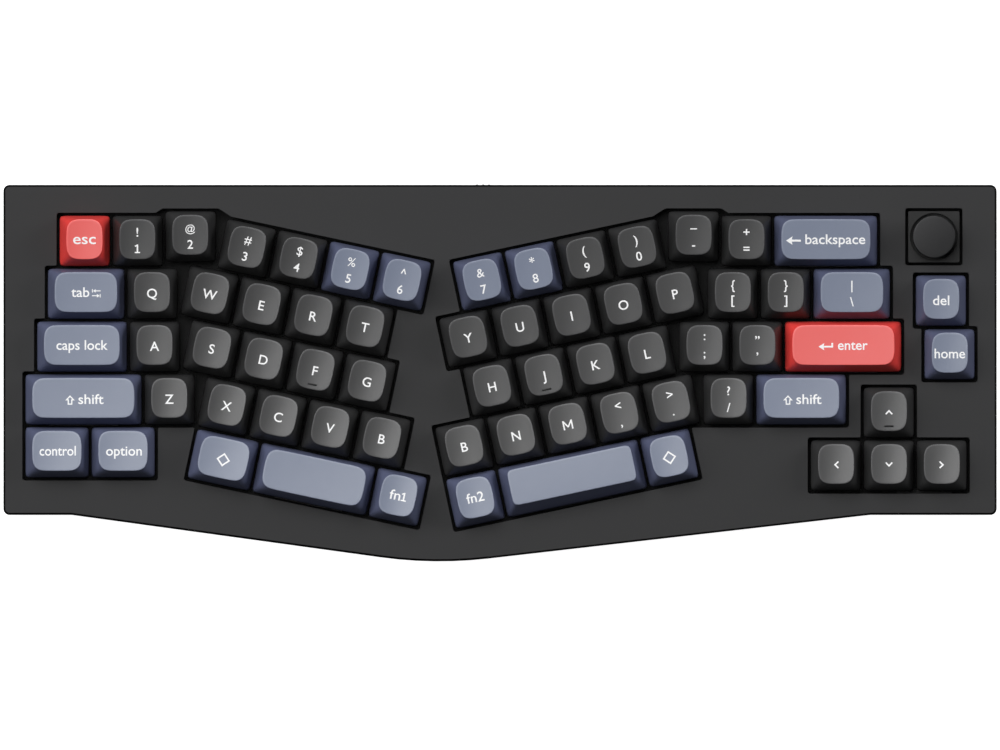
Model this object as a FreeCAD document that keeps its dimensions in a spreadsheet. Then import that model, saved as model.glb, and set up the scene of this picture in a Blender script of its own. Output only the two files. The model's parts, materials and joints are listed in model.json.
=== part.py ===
"""Split-angle keyboard with 68 keys and a volume knob in a gasket-mounted metal case.

Everything is modelled in the typing plane: u runs to the right, v to the rear and w upwards,
with w = 0 on the top face of the case. The whole assembly is then tilted about X, so that it
stands on its feet with the rear edge higher. Lengths are in millimetres.
"""
import FreeCAD, Part
import math
import os
from collections import namedtuple

V = FreeCAD.Vector
Placement = FreeCAD.Placement
Rotation = FreeCAD.Rotation

# Driving dimensions: alias, value and meaning.
SIZES = (
    ("side_border", 7.5, "case side to the outermost keys"),
    ("rear_border", 9.13, "rear edge of the case to the rearmost keys"),
    ("front_border", 13.02, "straight front edge of the case to the keys beside it"),
    ("apex_border", 12.4, "frontmost key corner to where the two front slopes would meet"),
    ("apex_shift", -23.6, "front apex, from the middle of the case"),
    ("left_slope_inset", 24.65, "case side to where the left front slope starts"),
    ("right_slope_inset", 45.75, "case side to where the right front slope starts"),
    ("case_apex_radius", 155.0, "arc that rounds the front apex"),
    ("case_corner_radius", 2.2, "outer corners of the case"),
    ("case_edge_chamfer", 0.7, "bevel round the top face"),
    ("case_middle_height", 27.0, "top face above the desk, in the middle of the case"),
    ("case_tilt", 5.2, "angle of the typing plane in degrees"),
    ("bezel_thickness", 6.2, "top plate of the upper case"),
    ("seam_depth", 11.0, "joint between upper and lower case, below the top face"),
    ("cavity_depth", 17.4, "floor inside the lower case, below the top face"),
    ("end_wall", 7.0, "front and rear wall of the upper case"),
    ("side_wall", 4.5, "side walls of the upper case"),
    ("gasket_ledge", 2.7, "rim of the lower case that carries the gaskets"),
    ("inner_clearance", 0.5, "free gap round the plate and the circuit board"),
    ("plate_drop", 7.6, "top of the switch plate, below the top face"),
    ("plate_thickness", 1.5, "switch plate"),
    ("board_drop", 12.6, "top of the circuit board, below the top face"),
    ("board_thickness", 1.6, "circuit board"),
    ("gasket_width", 2.0, "gasket strip, across"),
    ("gasket_length", 20.0, "gasket strip, along the edge"),
    ("gasket_edge_gap", 0.1, "gasket strip to the edge of the plate"),
    ("foam_clearance", 0.3, "gap between foam and circuit board"),
    ("foot_height", 1.6, "rubber foot"),
    ("foot_length", 46.0, "rubber foot, along the case"),
    ("foot_depth", 8.0, "rubber foot, across"),
    ("foot_spacing", 210.0, "left feet to right feet"),
    ("foot_end_inset", 12.0, "foot centre from the front or rear edge"),
    ("round_end_flat", 0.2, "flat left in the round ends of the feet and the cable socket"),
    ("key_pitch", 19.05, "distance between neighbouring keys"),
    ("cap_gap", 0.85, "gap between neighbouring keycaps"),
    ("cap_narrowing", 5.0, "keycap, top narrower than the skirt"),
    ("cap_shortening", 3.65, "keycap, top shorter than the skirt"),
    ("cap_set_back", 0.6, "keycap, top set back from the skirt"),
    ("cap_top_radius", 4.5, "keycap, corners of the top"),
    ("cap_wall", 1.4, "keycap, wall at the skirt"),
    ("cap_upper_wall", 2.4, "keycap, wall below the roof"),
    ("cap_roof", 2.4, "keycap, roof above the hollow"),
    ("cap_dish", 0.75, "keycap, depth of the finger dish"),
    ("cap_dish_floor", 0.62, "flat middle of the dish, as a share of the top"),
    ("arch_narrowing", 5.9, "arched keycap, top narrower than the skirt"),
    ("arch_shortening", 5.1, "arched keycap, top shorter than the skirt"),
    ("arch_set_back", 1.2, "arched keycap, top set back from the skirt"),
    ("arch_top_radius", 2.2, "arched keycap, corners of the top"),
    ("arch_rise", 0.4, "arched keycap, rise of the top"),
    ("cap_drop", 1.5, "skirt of a keycap at rest, below the top face"),
    ("cap_height_1", 11.0, "keycap height, number row"),
    ("cap_height_2", 9.8, "keycap height, upper letter row"),
    ("cap_height_3", 9.2, "keycap height, home row"),
    ("cap_height_4", 9.0, "keycap height, lower letter row"),
    ("cap_height_5", 9.2, "keycap height, space row"),
    ("cap_tilt_rear", 7.0, "top of the number row, degrees towards the front"),
    ("cap_tilt_step", 2.5, "change of that angle from row to row"),
    ("homing_bar_length", 4.2, "homing bar"),
    ("homing_bar_width", 0.7, "homing bar"),
    ("homing_bar_height", 1.0, "homing bar"),
    ("homing_bar_proud", 0.2, "homing bar above the front edge of the top"),
    ("homing_bar_inset", 2.4, "homing bar, back from the front edge of the top"),
    ("key_travel", 4.0, "full travel of a key"),
    ("stem_width", 5.6, "switch stem and keycap boss"),
    ("stem_clearance", 0.3, "gap round the stem in its switch"),
    ("stem_reach", 5.5, "stem end at rest, below the top face, less the keycap drop"),
    ("switch_hole", 14.0, "square hole in the plate"),
    ("switch_fit", 0.05, "clearance of the switch in its hole"),
    ("switch_flange", 15.6, "switch body on the plate"),
    ("switch_top", 10.8, "top of the switch body"),
    ("switch_rise", 6.6, "switch body above the plate"),
    ("stabiliser_reach", 11.94, "stabiliser from the middle of its key"),
    ("stabiliser_width", 7.0, "stabiliser housing"),
    ("stabiliser_depth", 12.0, "stabiliser housing"),
    ("stabiliser_rise", 3.0, "stabiliser housing above the plate"),
    ("stabiliser_stem", 3.8, "stabiliser stem"),
    ("wire_radius", 0.8, "stabiliser wire"),
    ("wire_front", 9.0, "stabiliser wire, in front of the key's middle"),
    ("wire_gap", 0.1, "stabiliser wire above the plate"),
    ("row_1_v", 47.6, "middle of the number row"),
    ("lifted_key", 1.6, "keys 2 and minus, set further to the rear"),
    ("block_angle", 12.0, "turn of each letter block in degrees"),
    ("right_block_u", -11.4, "key Y, the pivot of the right block, from the middle of the case"),
    ("right_block_drop", 16.07, "key Y, in front of the upper letter row"),
    ("left_block_drop", 0.4, "key W, the pivot of the left block, in front of the upper letter row"),
    ("split_gap", 7.25, "between the two B keys, along the case"),
    ("row_gap_1", 3.4, "turned block to the outer keys, number row"),
    ("row_gap_2", 3.9, "turned block to the outer keys, upper letter row"),
    ("row_gap_3", 3.7, "turned block to the outer keys, home row"),
    ("row_gap_4", 3.75, "turned block to the outer keys, lower letter row"),
    ("delete_gap", 8.35, "backslash key to the delete key"),
    ("delete_drop", 2.45, "delete key, in front of the upper letter row"),
    ("home_gap", 7.4, "enter key to the home key"),
    ("home_drop", 2.75, "home key, in front of the home row"),
    ("arrow_gap", 5.4, "right shift key to the up arrow key"),
    ("arrow_drop", 4.75, "arrow keys, in front of their rows"),
    ("opening_margin", 0.6, "opening of the case round the key cells"),
    ("bridge_run", 2.2, "slanted step in the rear edge of an opening, along"),
    ("bridge_rise", 1.6, "slanted step in the rear edge of an opening, up"),
    ("knob_inset", 22.65, "volume knob, from the case side"),
    ("knob_lift", 1.5, "volume knob, behind the middle of the number row"),
    ("knob_window", 20.6, "square window of the case round the knob"),
    ("surround_width", 18.8, "square insert round the knob"),
    ("surround_corner", 0.5, "corners of the insert"),
    ("surround_drop", 0.2, "top of the insert, below the top face"),
    ("recess_radius", 8.55, "round recess in the insert"),
    ("recess_depth", 3.0, "round recess in the insert"),
    ("knob_radius", 7.6, "volume knob"),
    ("knob_height", 11.0, "volume knob"),
    ("knob_rise", 8.6, "top of the knob above the top face"),
    ("knob_dish", 0.5, "hollow in the top of the knob"),
    ("knob_dish_radius", 4.0, "flat middle of that hollow"),
    ("knob_edge", 0.4, "bevel round the top of the knob"),
    ("knob_bore_depth", 8.0, "blind bore for the shaft"),
    ("knob_press", 0.5, "press travel of the knob"),
    ("shaft_radius", 3.0, "encoder shaft"),
    ("shaft_fit", 0.05, "clearance of the shaft in the knob"),
    ("encoder_width", 12.0, "rotary encoder"),
    ("encoder_height", 6.4, "rotary encoder above the circuit board"),
    ("encoder_bore", 3.5, "bore of the encoder for its shaft"),
    ("encoder_floor", 2.0, "floor below the bore of the encoder"),
    ("encoder_headroom", 0.3, "gap above the rotary encoder"),
    ("plunger_height", 1.2, "press plate inside the encoder"),
    ("screw_radius", 1.25, "case screw"),
    ("screw_head_radius", 2.2, "case screw head"),
    ("screw_head_height", 1.8, "case screw head"),
    ("screw_fit", 0.05, "clearance of a screw in its thread"),
    ("screw_seat", 14.5, "seat of the screw heads, below the top face"),
    ("screw_tip", 4.6, "tip of the screws, below the top face"),
    ("screw_tip_gap", 0.3, "gap above the tip of a screw"),
    ("screw_inset", 3.8, "screw centres from the front or rear edge"),
    ("screw_spacing", 140.0, "screws along the rear edge"),
    ("bay_depth", 5.2, "bay for the connector board, below the cavity floor"),
    ("bay_length", 46.0, "bay for the connector board, along the case"),
    ("bay_width", 17.0, "bay for the connector board, across"),
    ("bay_u", -15.0, "middle of the bay"),
    ("connector_board_thickness", 1.2, "board that carries the socket and the slide switch"),
    ("socket_inset", 11.0, "cable socket, from the left end of the bay"),
    ("socket_width", 8.94, "cable socket shell"),
    ("socket_height", 3.26, "cable socket shell"),
    ("socket_depth", 9.5, "cable socket shell"),
    ("socket_wall", 0.3, "sheet of the socket shell"),
    ("socket_set_back", 0.3, "mouth of the socket behind the floor of the plug recess"),
    ("socket_tongue", 0.7, "thickness of the tongue in the socket"),
    ("tongue_width_share", 0.75, "width of the tongue, as a share of the socket"),
    ("tongue_depth_share", 0.6, "depth of the tongue, as a share of the socket"),
    ("plug_recess_width", 13.0, "recess in the rear wall for the plug"),
    ("plug_recess_height", 7.4, "recess in the rear wall for the plug"),
    ("plug_recess_depth", 6.0, "recess in the rear wall for the plug"),
    ("slide_inset", 14.1, "slide switch cap at rest, from the right end of the bay"),
    ("slide_travel", 2.0, "travel of the slide switch"),
    ("slide_width", 7.6, "slide switch cap"),
    ("slide_height", 3.2, "slide switch cap"),
    ("slide_clearance", 0.3, "gap round the slide switch cap"),
    ("slide_proud", 0.3, "ribs of the slide switch cap beyond the rear wall"),
    ("slide_rib_pitch", 2.16, "ribs of the slide switch cap"),
    ("slide_rib_width", 0.8, "ribs of the slide switch cap"),
    ("slide_rib_height", 0.8, "ribs of the slide switch cap"),
    ("slide_body_length", 9.0, "slide switch"),
    ("slide_body_depth", 3.5, "slide switch"),
    ("cutter_overrun", 1.0, "cutters beyond the faces that they open"),
)

doc = FreeCAD.newDocument("split_keyboard")
sheet = doc.addObject("Spreadsheet::Sheet", "sizes")
for line, (alias, value, meaning) in enumerate(SIZES, 1):
    sheet.set("A%d" % line, meaning)
    sheet.set("B%d" % line, str(value))
    sheet.setAlias("B%d" % line, alias)
doc.recompute()


def size(alias):
    """Value of one driving dimension."""
    return float(getattr(sheet, alias))


PITCH = size("key_pitch")
# The lower case is drawn down to here before its underside is cut level.
BOTTOM = -60.0

# The keys. Widths are counted in key units.
Key = namedtuple("Key", "name width row at angle")
KEYS = {}
LIFTED_KEYS = ("2", "minus")


def letters(text):
    """Single-width keys named by their letters."""
    return [(letter, 1.0) for letter in text]


# Rows of the turned blocks: start in key units from the middle of the pivot key W or Y, and keys.
TURNED_ROWS = {
    "left": [
        (0.0, letters("3456")),
        (-0.5, letters("wert")),
        (-0.25, letters("sdfg")),
        (0.25, letters("xcvb")),
        (0.275, [("left_command", 1.25), ("left_space", 2.25), ("fn1", 1.0)]),
    ],
    "right": [
        (-0.02, letters("7890")),
        (-0.5, letters("yuiop")),
        (-0.25, letters("hjkl")),
        (-1.0, [("second_b", 1.0)] + letters("nm") + [("comma", 1.0), ("period", 1.0)]),
        (-1.0, [("fn2", 1.0), ("right_space", 2.75), ("right_command", 1.0)]),
    ],
}
# Rows of the outer keys, which end or start beside the turned blocks.
OUTER_ROWS = {
    "left": [
        [("esc", 1.0), ("1", 1.0), ("2", 1.0)],
        [("tab", 1.5), ("q", 1.0)],
        [("caps_lock", 1.75), ("a", 1.0)],
        [("left_shift", 2.25), ("z", 1.0)],
    ],
    "right": [
        [("minus", 1.0), ("equals", 1.0), ("backspace", 2.0)],
        [("left_bracket", 1.0), ("right_bracket", 1.0), ("backslash", 1.5)],
        [("semicolon", 1.0), ("quote", 1.0), ("enter", 2.25)],
        [("slash", 1.0), ("right_shift", 1.75)],
    ],
}


def row_v(row):
    """Middle of a row of the outer keys."""
    return size("row_1_v") - (row - 1) * PITCH


def width_of(keys):
    """Width of a row in key units."""
    return sum(width for _, width in keys)


def block_angle(side):
    """Turn of a block in degrees."""
    return size("block_angle") * (-1 if side == "left" else 1)


def in_block(side, x, y):
    """Vector given in key units in the directions of a turned block."""
    return Rotation(V(0, 0, 1), block_angle(side)).multVec(V(x * PITCH, y * PITCH, 0))


def row_end(side, row, end):
    """Rear corner at one end of a turned row, from the pivot key: end 0 left, 1 right."""
    start, keys = TURNED_ROWS[side][row - 1]
    return in_block(side, start + end * width_of(keys), 2.5 - row)


def pivots():
    """Middles of keys W and Y. The gap between the two B keys sets the blocks apart."""
    right = V(size("right_block_u"), row_v(2) - size("right_block_drop"), 0)
    apart = size("split_gap") - row_end("right", 4, 0).x + row_end("left", 4, 1).x
    return {"left": V(right.x - apart, row_v(2) - size("left_block_drop"), 0), "right": right}


def add_row(row, anchor, angle, start, keys):
    """Set keys side by side, the first with its left side at start units from the anchor."""
    turn = Rotation(V(0, 0, 1), angle)
    for name, width in keys:
        lift = size("lifted_key") if name in LIFTED_KEYS else 0.0
        middle = turn.multVec(V((start + width / 2) * PITCH, lift, 0))
        KEYS[name] = Key(name, width, row, anchor + middle, angle)
        start += width


def straight_row(row, left, keys, drop=0.0):
    """A row of the outer keys, from its left side."""
    add_row(row, V(left, row_v(row) - drop, 0), 0.0, 0.0, keys)


def side_of(name, side):
    """Left (-1) or right (1) side of an outer key."""
    return KEYS[name].at.x + side * KEYS[name].width * PITCH / 2


def lay_out_keys():
    """Fill KEYS with all 68 keys."""
    pivot = pivots()
    for side, rows in TURNED_ROWS.items():
        for row, (start, keys) in enumerate(rows, 1):
            add_row(row, pivot[side] + in_block(side, 0, 2 - row), block_angle(side), start, keys)
    for row, keys in enumerate(OUTER_ROWS["left"], 1):
        end = pivot["left"].x + row_end("left", row, 0).x - size("row_gap_%d" % row)
        straight_row(row, end - width_of(keys) * PITCH, keys)
    for row, keys in enumerate(OUTER_ROWS["right"], 1):
        straight_row(row, pivot["right"].x + row_end("right", row, 1).x + size("row_gap_%d" % row), keys)
    straight_row(5, side_of("left_shift", -1), [("control", 1.25), ("option", 1.25)])
    straight_row(2, side_of("backslash", 1) + size("delete_gap"), [("delete", 1.0)], size("delete_drop"))
    straight_row(3, side_of("enter", 1) + size("home_gap"), [("home", 1.0)], size("home_drop"))
    straight_row(4, side_of("right_shift", 1) + size("arrow_gap"), [("up", 1.0)], size("arrow_drop"))
    straight_row(5, side_of("up", -1) - PITCH, [("left", 1.0), ("down", 1.0), ("right", 1.0)],
                 size("arrow_drop"))


lay_out_keys()

# Keys that share a node, because a library part holds at most 60 nodes.
KEY_GROUPS = {
    "upper_letter_keys": list("qwertyuiop"),
    "home_letter_keys": list("asdfghjkl") + ["semicolon"],
    "lower_letter_keys": list("zxcvb") + ["second_b"] + list("nm") + ["comma", "period", "slash"],
}
HOMING_KEYS = ("f", "j", "up")
ARCHED_KEYS = ("right_space",)
STABILISED_KEYS = [name for name, key in KEYS.items() if key.width >= 2]


def on_key(key, across=0.0, along=0.0, up=0.0):
    """A point given in the key's own directions."""
    return key.at + Rotation(V(0, 0, 1), key.angle).multVec(V(across, along, up))


def cell_corner(name, side, end):
    """Corner of a key's cell in the case opening: side -1 left, 1 right; end -1 front, 1 rear."""
    key = KEYS[name]
    margin = size("opening_margin")
    return on_key(key, side * (key.width * PITCH / 2 + margin), end * (PITCH / 2 + margin))


def cell_side(name, side):
    """Line along one side of a key's cell: a point and a direction."""
    ends = {"left": ((-1, -1), (-1, 1)), "right": ((1, -1), (1, 1)),
            "front": ((-1, -1), (1, -1)), "rear": ((-1, 1), (1, 1))}[side]
    first = cell_corner(name, *ends[0])
    return first, cell_corner(name, *ends[1]) - first


def meet(name, side, other, other_side):
    """Where the sides of two cells cross."""
    first, along = cell_side(name, side)
    second, across = cell_side(other, other_side)
    reach = (second - first).cross(across).z / along.cross(across).z
    return first + along * reach


def slant(name, side):
    """Foot of the slanted step beside a key that lies further to the rear."""
    return cell_corner(name, side, 1) + V(side * size("bridge_run"), -size("bridge_rise"), 0)


def near_corner(name, side):
    """Point on the rear side of a cell, a bridge run away from its corner."""
    corner = cell_corner(name, side, 1)
    _, along = cell_side(name, "rear")
    return corner - along.normalize() * side * size("bridge_run")


def left_opening():
    """Opening of the case round the left half of the keys, clockwise from the escape key."""
    return [
        cell_corner("esc", -1, 1), slant("2", -1), cell_corner("2", -1, 1), cell_corner("2", 1, 1),
        near_corner("3", -1), cell_corner("6", 1, 1), cell_corner("6", 1, -1),
        meet("6", "front", "t", "right"), meet("t", "right", "g", "rear"), cell_corner("g", 1, 1),
        meet("g", "right", "b", "rear"), cell_corner("b", 1, 1), meet("b", "right", "fn1", "rear"),
        cell_corner("fn1", 1, 1), cell_corner("fn1", 1, -1), cell_corner("left_command", -1, -1),
        meet("left_command", "left", "z", "front"), meet("z", "front", "option", "right"),
        cell_corner("option", 1, -1), cell_corner("control", -1, -1),
        cell_corner("left_shift", -1, 1), meet("left_shift", "rear", "caps_lock", "left"),
        cell_corner("caps_lock", -1, 1), meet("caps_lock", "rear", "tab", "left"),
        cell_corner("tab", -1, 1), meet("tab", "rear", "esc", "left"),
    ]


def right_opening():
    """Opening of the case round the right half of the keys, clockwise from key 7."""
    return [
        cell_corner("7", -1, 1), near_corner("0", 1), cell_corner("minus", -1, 1),
        cell_corner("minus", 1, 1), slant("minus", 1), cell_corner("backspace", 1, 1),
        meet("backspace", "right", "backslash", "rear"), cell_corner("backslash", 1, 1),
        meet("backslash", "right", "enter", "rear"), cell_corner("enter", 1, 1),
        cell_corner("enter", 1, -1), meet("enter", "front", "right_shift", "right"),
        cell_corner("right_shift", 1, -1), meet("slash", "front", "right_command", "right"),
        cell_corner("right_command", 1, -1), cell_corner("fn2", -1, -1),
        cell_corner("second_b", -1, 1), meet("second_b", "rear", "h", "left"),
        meet("h", "left", "y", "front"), cell_corner("y", -1, -1), cell_corner("y", -1, 1),
        meet("y", "rear", "7", "left"),
    ]


def editing_opening():
    """Opening of the case round the delete and home keys."""
    return [
        cell_corner("delete", -1, 1), cell_corner("delete", 1, 1),
        meet("delete", "right", "home", "rear"), cell_corner("home", 1, 1),
        cell_corner("home", 1, -1), cell_corner("home", -1, -1),
        meet("home", "left", "delete", "front"), cell_corner("delete", -1, -1),
    ]


def arrow_opening():
    """Opening of the case round the arrow keys."""
    return [
        cell_corner("up", -1, 1), cell_corner("up", 1, 1), meet("up", "right", "right", "rear"),
        cell_corner("right", 1, 1), cell_corner("right", 1, -1), cell_corner("left", -1, -1),
        cell_corner("left", -1, 1), meet("left", "rear", "up", "left"),
    ]


# Outline of the case, with walls taken off it for the parts inside.
def half_length():
    """Half the length of the case: the outermost key and a border."""
    return size("side_border") - side_of("left_shift", -1)


def case_rear():
    """Rear edge of the case: the rearmost keys and a border."""
    return size("row_1_v") + size("lifted_key") + PITCH / 2 + size("rear_border")


def front_corners():
    """Start of the left front slope, front apex before it is rounded, end of the right front slope."""
    straight = row_v(5) - PITCH / 2 - size("front_border")
    frontmost = min(on_key(key, side * key.width * PITCH / 2, -PITCH / 2).y
                    for key in KEYS.values() for side in (-1, 1))
    return (V(size("left_slope_inset") - half_length(), straight, 0),
            V(size("apex_shift"), frontmost - size("apex_border"), 0),
            V(half_length() - size("right_slope_inset"), straight, 0))


def front_falls():
    """Angles of the two front slopes in radians."""
    left, apex, right = front_corners()
    return (math.atan2(left.y - apex.y, apex.x - left.x), math.atan2(right.y - apex.y, right.x - apex.x))


def case_corners(side_inset=0.0, end_inset=0.0):
    """Corners of the case outline, from rear left and counter-clockwise."""
    half = half_length() - side_inset
    rear = case_rear() - end_inset
    left, apex, right = front_corners()
    left_fall, right_fall = (math.cos(angle) for angle in front_falls())
    return [
        V(-half, rear, 0),
        V(-half, left.y + end_inset, 0),
        left + V(0, end_inset / left_fall, 0),
        apex + V(0, end_inset * 2 / (left_fall + right_fall), 0),
        right + V(0, end_inset / right_fall, 0),
        V(half, right.y + end_inset, 0),
        V(half, rear, 0),
    ]


def case_front():
    """Front edge of the case at its rounded apex."""
    left, right = front_falls()
    cut_off = math.cos((left - right) / 2) / math.cos((left + right) / 2) - 1
    return front_corners()[1].y + size("case_apex_radius") * cut_off


def rounded(corners, radii):
    """Closed wire through the corners, each rounded by its own radius; 0 keeps it sharp."""
    count = len(corners)
    ends = []
    for i, corner in enumerate(corners):
        before = (corners[i - 1] - corner).normalize()
        after = (corners[(i + 1) % count] - corner).normalize()
        half_angle = before.getAngle(after) / 2
        run = radii[i] / math.tan(half_angle)
        middle = (before + after).normalize() * (radii[i] / math.sin(half_angle) - radii[i])
        ends.append((corner + before * run, corner + middle, corner + after * run))
    edges = []
    for i, (start, middle, end) in enumerate(ends):
        if radii[i] > 0:
            edges.append(Part.Arc(start, middle, end).toShape())
        edges.append(Part.makeLine(end, ends[(i + 1) % count][0]))
    return Part.Wire(edges)


def case_wire(side_inset=0.0, end_inset=0.0):
    """Outline of the case or of something inside it; only the outside has rounded corners."""
    corner = 0.0 if side_inset else size("case_corner_radius")
    apex = size("case_apex_radius")
    radii = [corner, corner, 0.0, apex, 0.0, corner, corner]
    return rounded(case_corners(side_inset, end_inset), radii)


def rectangle(width, depth, centre=V(0, 0, 0), angle=0.0):
    """Corners of a rectangle in the typing plane."""
    turn = Rotation(V(0, 0, 1), angle)
    signs = ((-1, -1), (1, -1), (1, 1), (-1, 1))
    return [centre + turn.multVec(V(a * width / 2, b * depth / 2, 0)) for a, b in signs]


def polygon(points):
    """Closed wire through points."""
    return Part.makePolygon(list(points) + [points[0]])


# The typing plane on the desk.
def typing_plane():
    """Tilt about X that stands the middle of the footprint over the origin."""
    tilt = math.radians(size("case_tilt"))
    rear = case_rear()
    rear_height = (size("case_middle_height") + rear * math.sin(tilt) - size("foot_height")) / math.cos(tilt)
    overhang = max(rear_height * math.sin(tilt), size("slide_proud") * math.cos(tilt))
    middle = ((rear + case_front()) * math.cos(tilt) + overhang) / 2
    return Placement(V(0, -middle, size("case_middle_height")), Rotation(V(1, 0, 0), size("case_tilt")))


TYPING = typing_plane()
NODES = []


def node(feature, label, placement=TYPING):
    """Name a finished sub-part and put it in its place."""
    feature.Label = label
    feature.Placement = placement.multiply(feature.Placement)
    NODES.append(feature)
    return feature


def bind(feature, **formulas):
    """Tie properties of a feature to formulas over the sheet."""
    for name, formula in formulas.items():
        feature.setExpression(name, formula)
    return feature


def raw(name, shape):
    """A shape made by functions that read the sheet."""
    feature = doc.addObject("Part::Feature", name)
    feature.Shape = shape
    return feature


def slab(name, wires, top, bottom):
    """Flat part between two heights, given as formulas; the first wire is its outline."""
    profile = raw(name + "_profile", Part.Compound(wires))
    feature = doc.addObject("Part::Extrusion", name)
    feature.Base = profile
    feature.DirMode = "Custom"
    feature.Dir = V(0, 0, 1)
    feature.Solid = True
    feature.FaceMakerClass = "Part::FaceMakerBullseye"
    bind(feature, LengthFwd=top, LengthRev="-(%s)" % bottom)
    return feature


def block(name, width, depth, height, at=V(0, 0, 0), angle=0.0):
    """Box with sizes given as formulas, centred on a point and standing on it."""
    feature = doc.addObject("Part::Box", name)
    bind(feature, Length=width, Width=depth, Height=height)
    doc.recompute([feature])
    turn = Rotation(V(0, 0, 1), angle)
    corner = turn.multVec(V(-feature.Length.Value / 2, -feature.Width.Value / 2, 0))
    feature.Placement = Placement(at + corner, turn)
    return feature


def prism(name, radius, height, at, sides=8):
    """Upright prism with radius and height given as formulas."""
    feature = doc.addObject("Part::Prism", name)
    feature.Polygon = sides
    bind(feature, Circumradius=radius, Height=height)
    feature.Placement = Placement(at, Rotation())
    return feature


def cylinder(name, radius, height, at):
    """Upright cylinder with radius and height given as formulas."""
    feature = doc.addObject("Part::Cylinder", name)
    bind(feature, Radius=radius, Height=height)
    feature.Placement = Placement(at, Rotation())
    return feature


def cut(name, base, *tools):
    """Base less each tool in turn."""
    for i, tool in enumerate(tools, 1):
        feature = doc.addObject("Part::Cut", "%s_cut_%d" % (name, i))
        feature.Base = base
        feature.Tool = tool
        base = feature
    return base


def group(name, features):
    """Several loose solids kept together."""
    feature = doc.addObject("Part::Compound", name)
    feature.Links = features
    return feature


# Keycaps, each a tapered shell with a dished top on its switch stem.
def squircle(width, depth, radius, centre):
    """Twelve corners of a rectangle with faceted round corners."""
    reach = radius / math.cos(math.radians(15))
    points = []
    for a, b, turn in ((1, -1, -90), (1, 1, 0), (-1, 1, 90), (-1, -1, 180)):
        for step in (15, 45, 75):
            angle = math.radians(turn + step)
            points.append(centre + V(a * (width / 2 - radius) + reach * math.cos(angle),
                                     b * (depth / 2 - radius) + reach * math.sin(angle), 0))
    return points


def facet(*points):
    """Flat face through points."""
    return Part.Face(polygon(points))


def band(lower, upper):
    """Ring of flat faces between two loops with the same number of points."""
    count = len(lower)
    return [facet(lower[i], lower[(i + 1) % count], upper[(i + 1) % count], upper[i])
            for i in range(count)]


def on_slope(low, high, height, slope):
    """Point on the line from low to high that lies on the sloping top of the keycap."""
    rise = high.z - low.z
    share = (height + slope * low.y) / (rise - slope * (high.y - low.y))
    return low + (high - low) * share


def top_slope(row):
    """Slope of the key tops of a row, rising to the rear."""
    return math.tan(math.radians(size("cap_tilt_rear") - (row - 1) * size("cap_tilt_step")))


def keycap(width, row, style="cap"):
    """Shell of a keycap with its skirt on z = 0; style cap has a dished top, style arch an arched one."""
    outer_width = width * PITCH - size("cap_gap")
    outer_depth = PITCH - size("cap_gap")
    height = size("cap_height_%d" % row)
    slope = top_slope(row)
    top_centre = V(0, size(style + "_set_back"), height)
    skirt = rectangle(outer_width, outer_depth)
    shoulders = squircle(outer_width - size(style + "_narrowing"), outer_depth - size(style + "_shortening"),
                         size(style + "_top_radius"), top_centre)
    owners = [corner for corner in (1, 2, 3, 0) for _ in range(3)]
    rim = [on_slope(skirt[owner], point, height, slope) for owner, point in zip(owners, shoulders)]
    faces = []
    for i, owner in enumerate(owners):
        after = (i + 1) % len(owners)
        if owners[after] == owner:
            faces.append(facet(skirt[owner], rim[after], rim[i]))
        else:
            faces.append(facet(skirt[owner], skirt[owners[after]], rim[after], rim[i]))
    middle = V(0, top_centre.y, height + slope * top_centre.y)
    normal = V(0, -slope, 1).normalize()
    sink = size("cap_dish") if style == "cap" else -size("arch_rise")
    bowl = [middle + (point - middle) * size("cap_dish_floor") - normal * sink for point in rim]
    faces += band(rim, bowl)
    faces.append(facet(*bowl))
    hollow_low, hollow_high = hollow_of(outer_width, outer_depth, height)
    faces.append(Part.Face([polygon(skirt), polygon(hollow_low[::-1])]))
    faces += band(hollow_low[::-1], hollow_high[::-1])
    faces.append(facet(*hollow_high[::-1]))
    shell = Part.Shell(faces)
    shell.sewShape()
    solid = Part.Solid(shell)
    if solid.Volume < 0:
        solid.reverse()
    return solid


def hollow_of(outer_width, outer_depth, height):
    """Lower and upper outline of the hollow under a keycap."""
    wall = size("cap_wall")
    ceiling = height - size("cap_roof")
    share = ceiling / height
    low = rectangle(outer_width - 2 * wall, outer_depth - 2 * wall)
    high_centre = V(0, size("cap_set_back") * share, ceiling)
    upper_wall = size("cap_upper_wall")
    high = rectangle(outer_width - size("cap_narrowing") * share - 2 * upper_wall,
                     outer_depth - size("cap_shortening") * share - 2 * upper_wall, high_centre)
    return low, high


def stem(width, depth, row, across=0.0):
    """Stem from the roof of a keycap down into its switch."""
    ceiling = size("cap_height_%d" % row) - size("cap_roof")
    reach = size("stem_reach")
    return Part.makeBox(width, depth, reach + ceiling, V(across - width / 2, -depth / 2, -reach))


def key_solids(key):
    """Keycap and stems of one key, in the typing plane."""
    cap = keycap(key.width, key.row, "arch" if key.name in ARCHED_KEYS else "cap")
    if key.name in HOMING_KEYS:
        cap = cap.fuse(homing_bar(key)).removeSplitter()
    solids = [cap, stem(size("stem_width"), size("stem_width"), key.row)]
    if key.name in STABILISED_KEYS:
        for side in (-1, 1):
            reach = side * size("stabiliser_reach")
            solids.append(stem(size("stabiliser_stem"), size("stabiliser_stem"), key.row, reach))
    seat = Placement(key.at - V(0, 0, size("cap_drop")), Rotation(V(0, 0, 1), key.angle))
    return [solid.transformed(seat.toMatrix()) for solid in solids]


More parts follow.
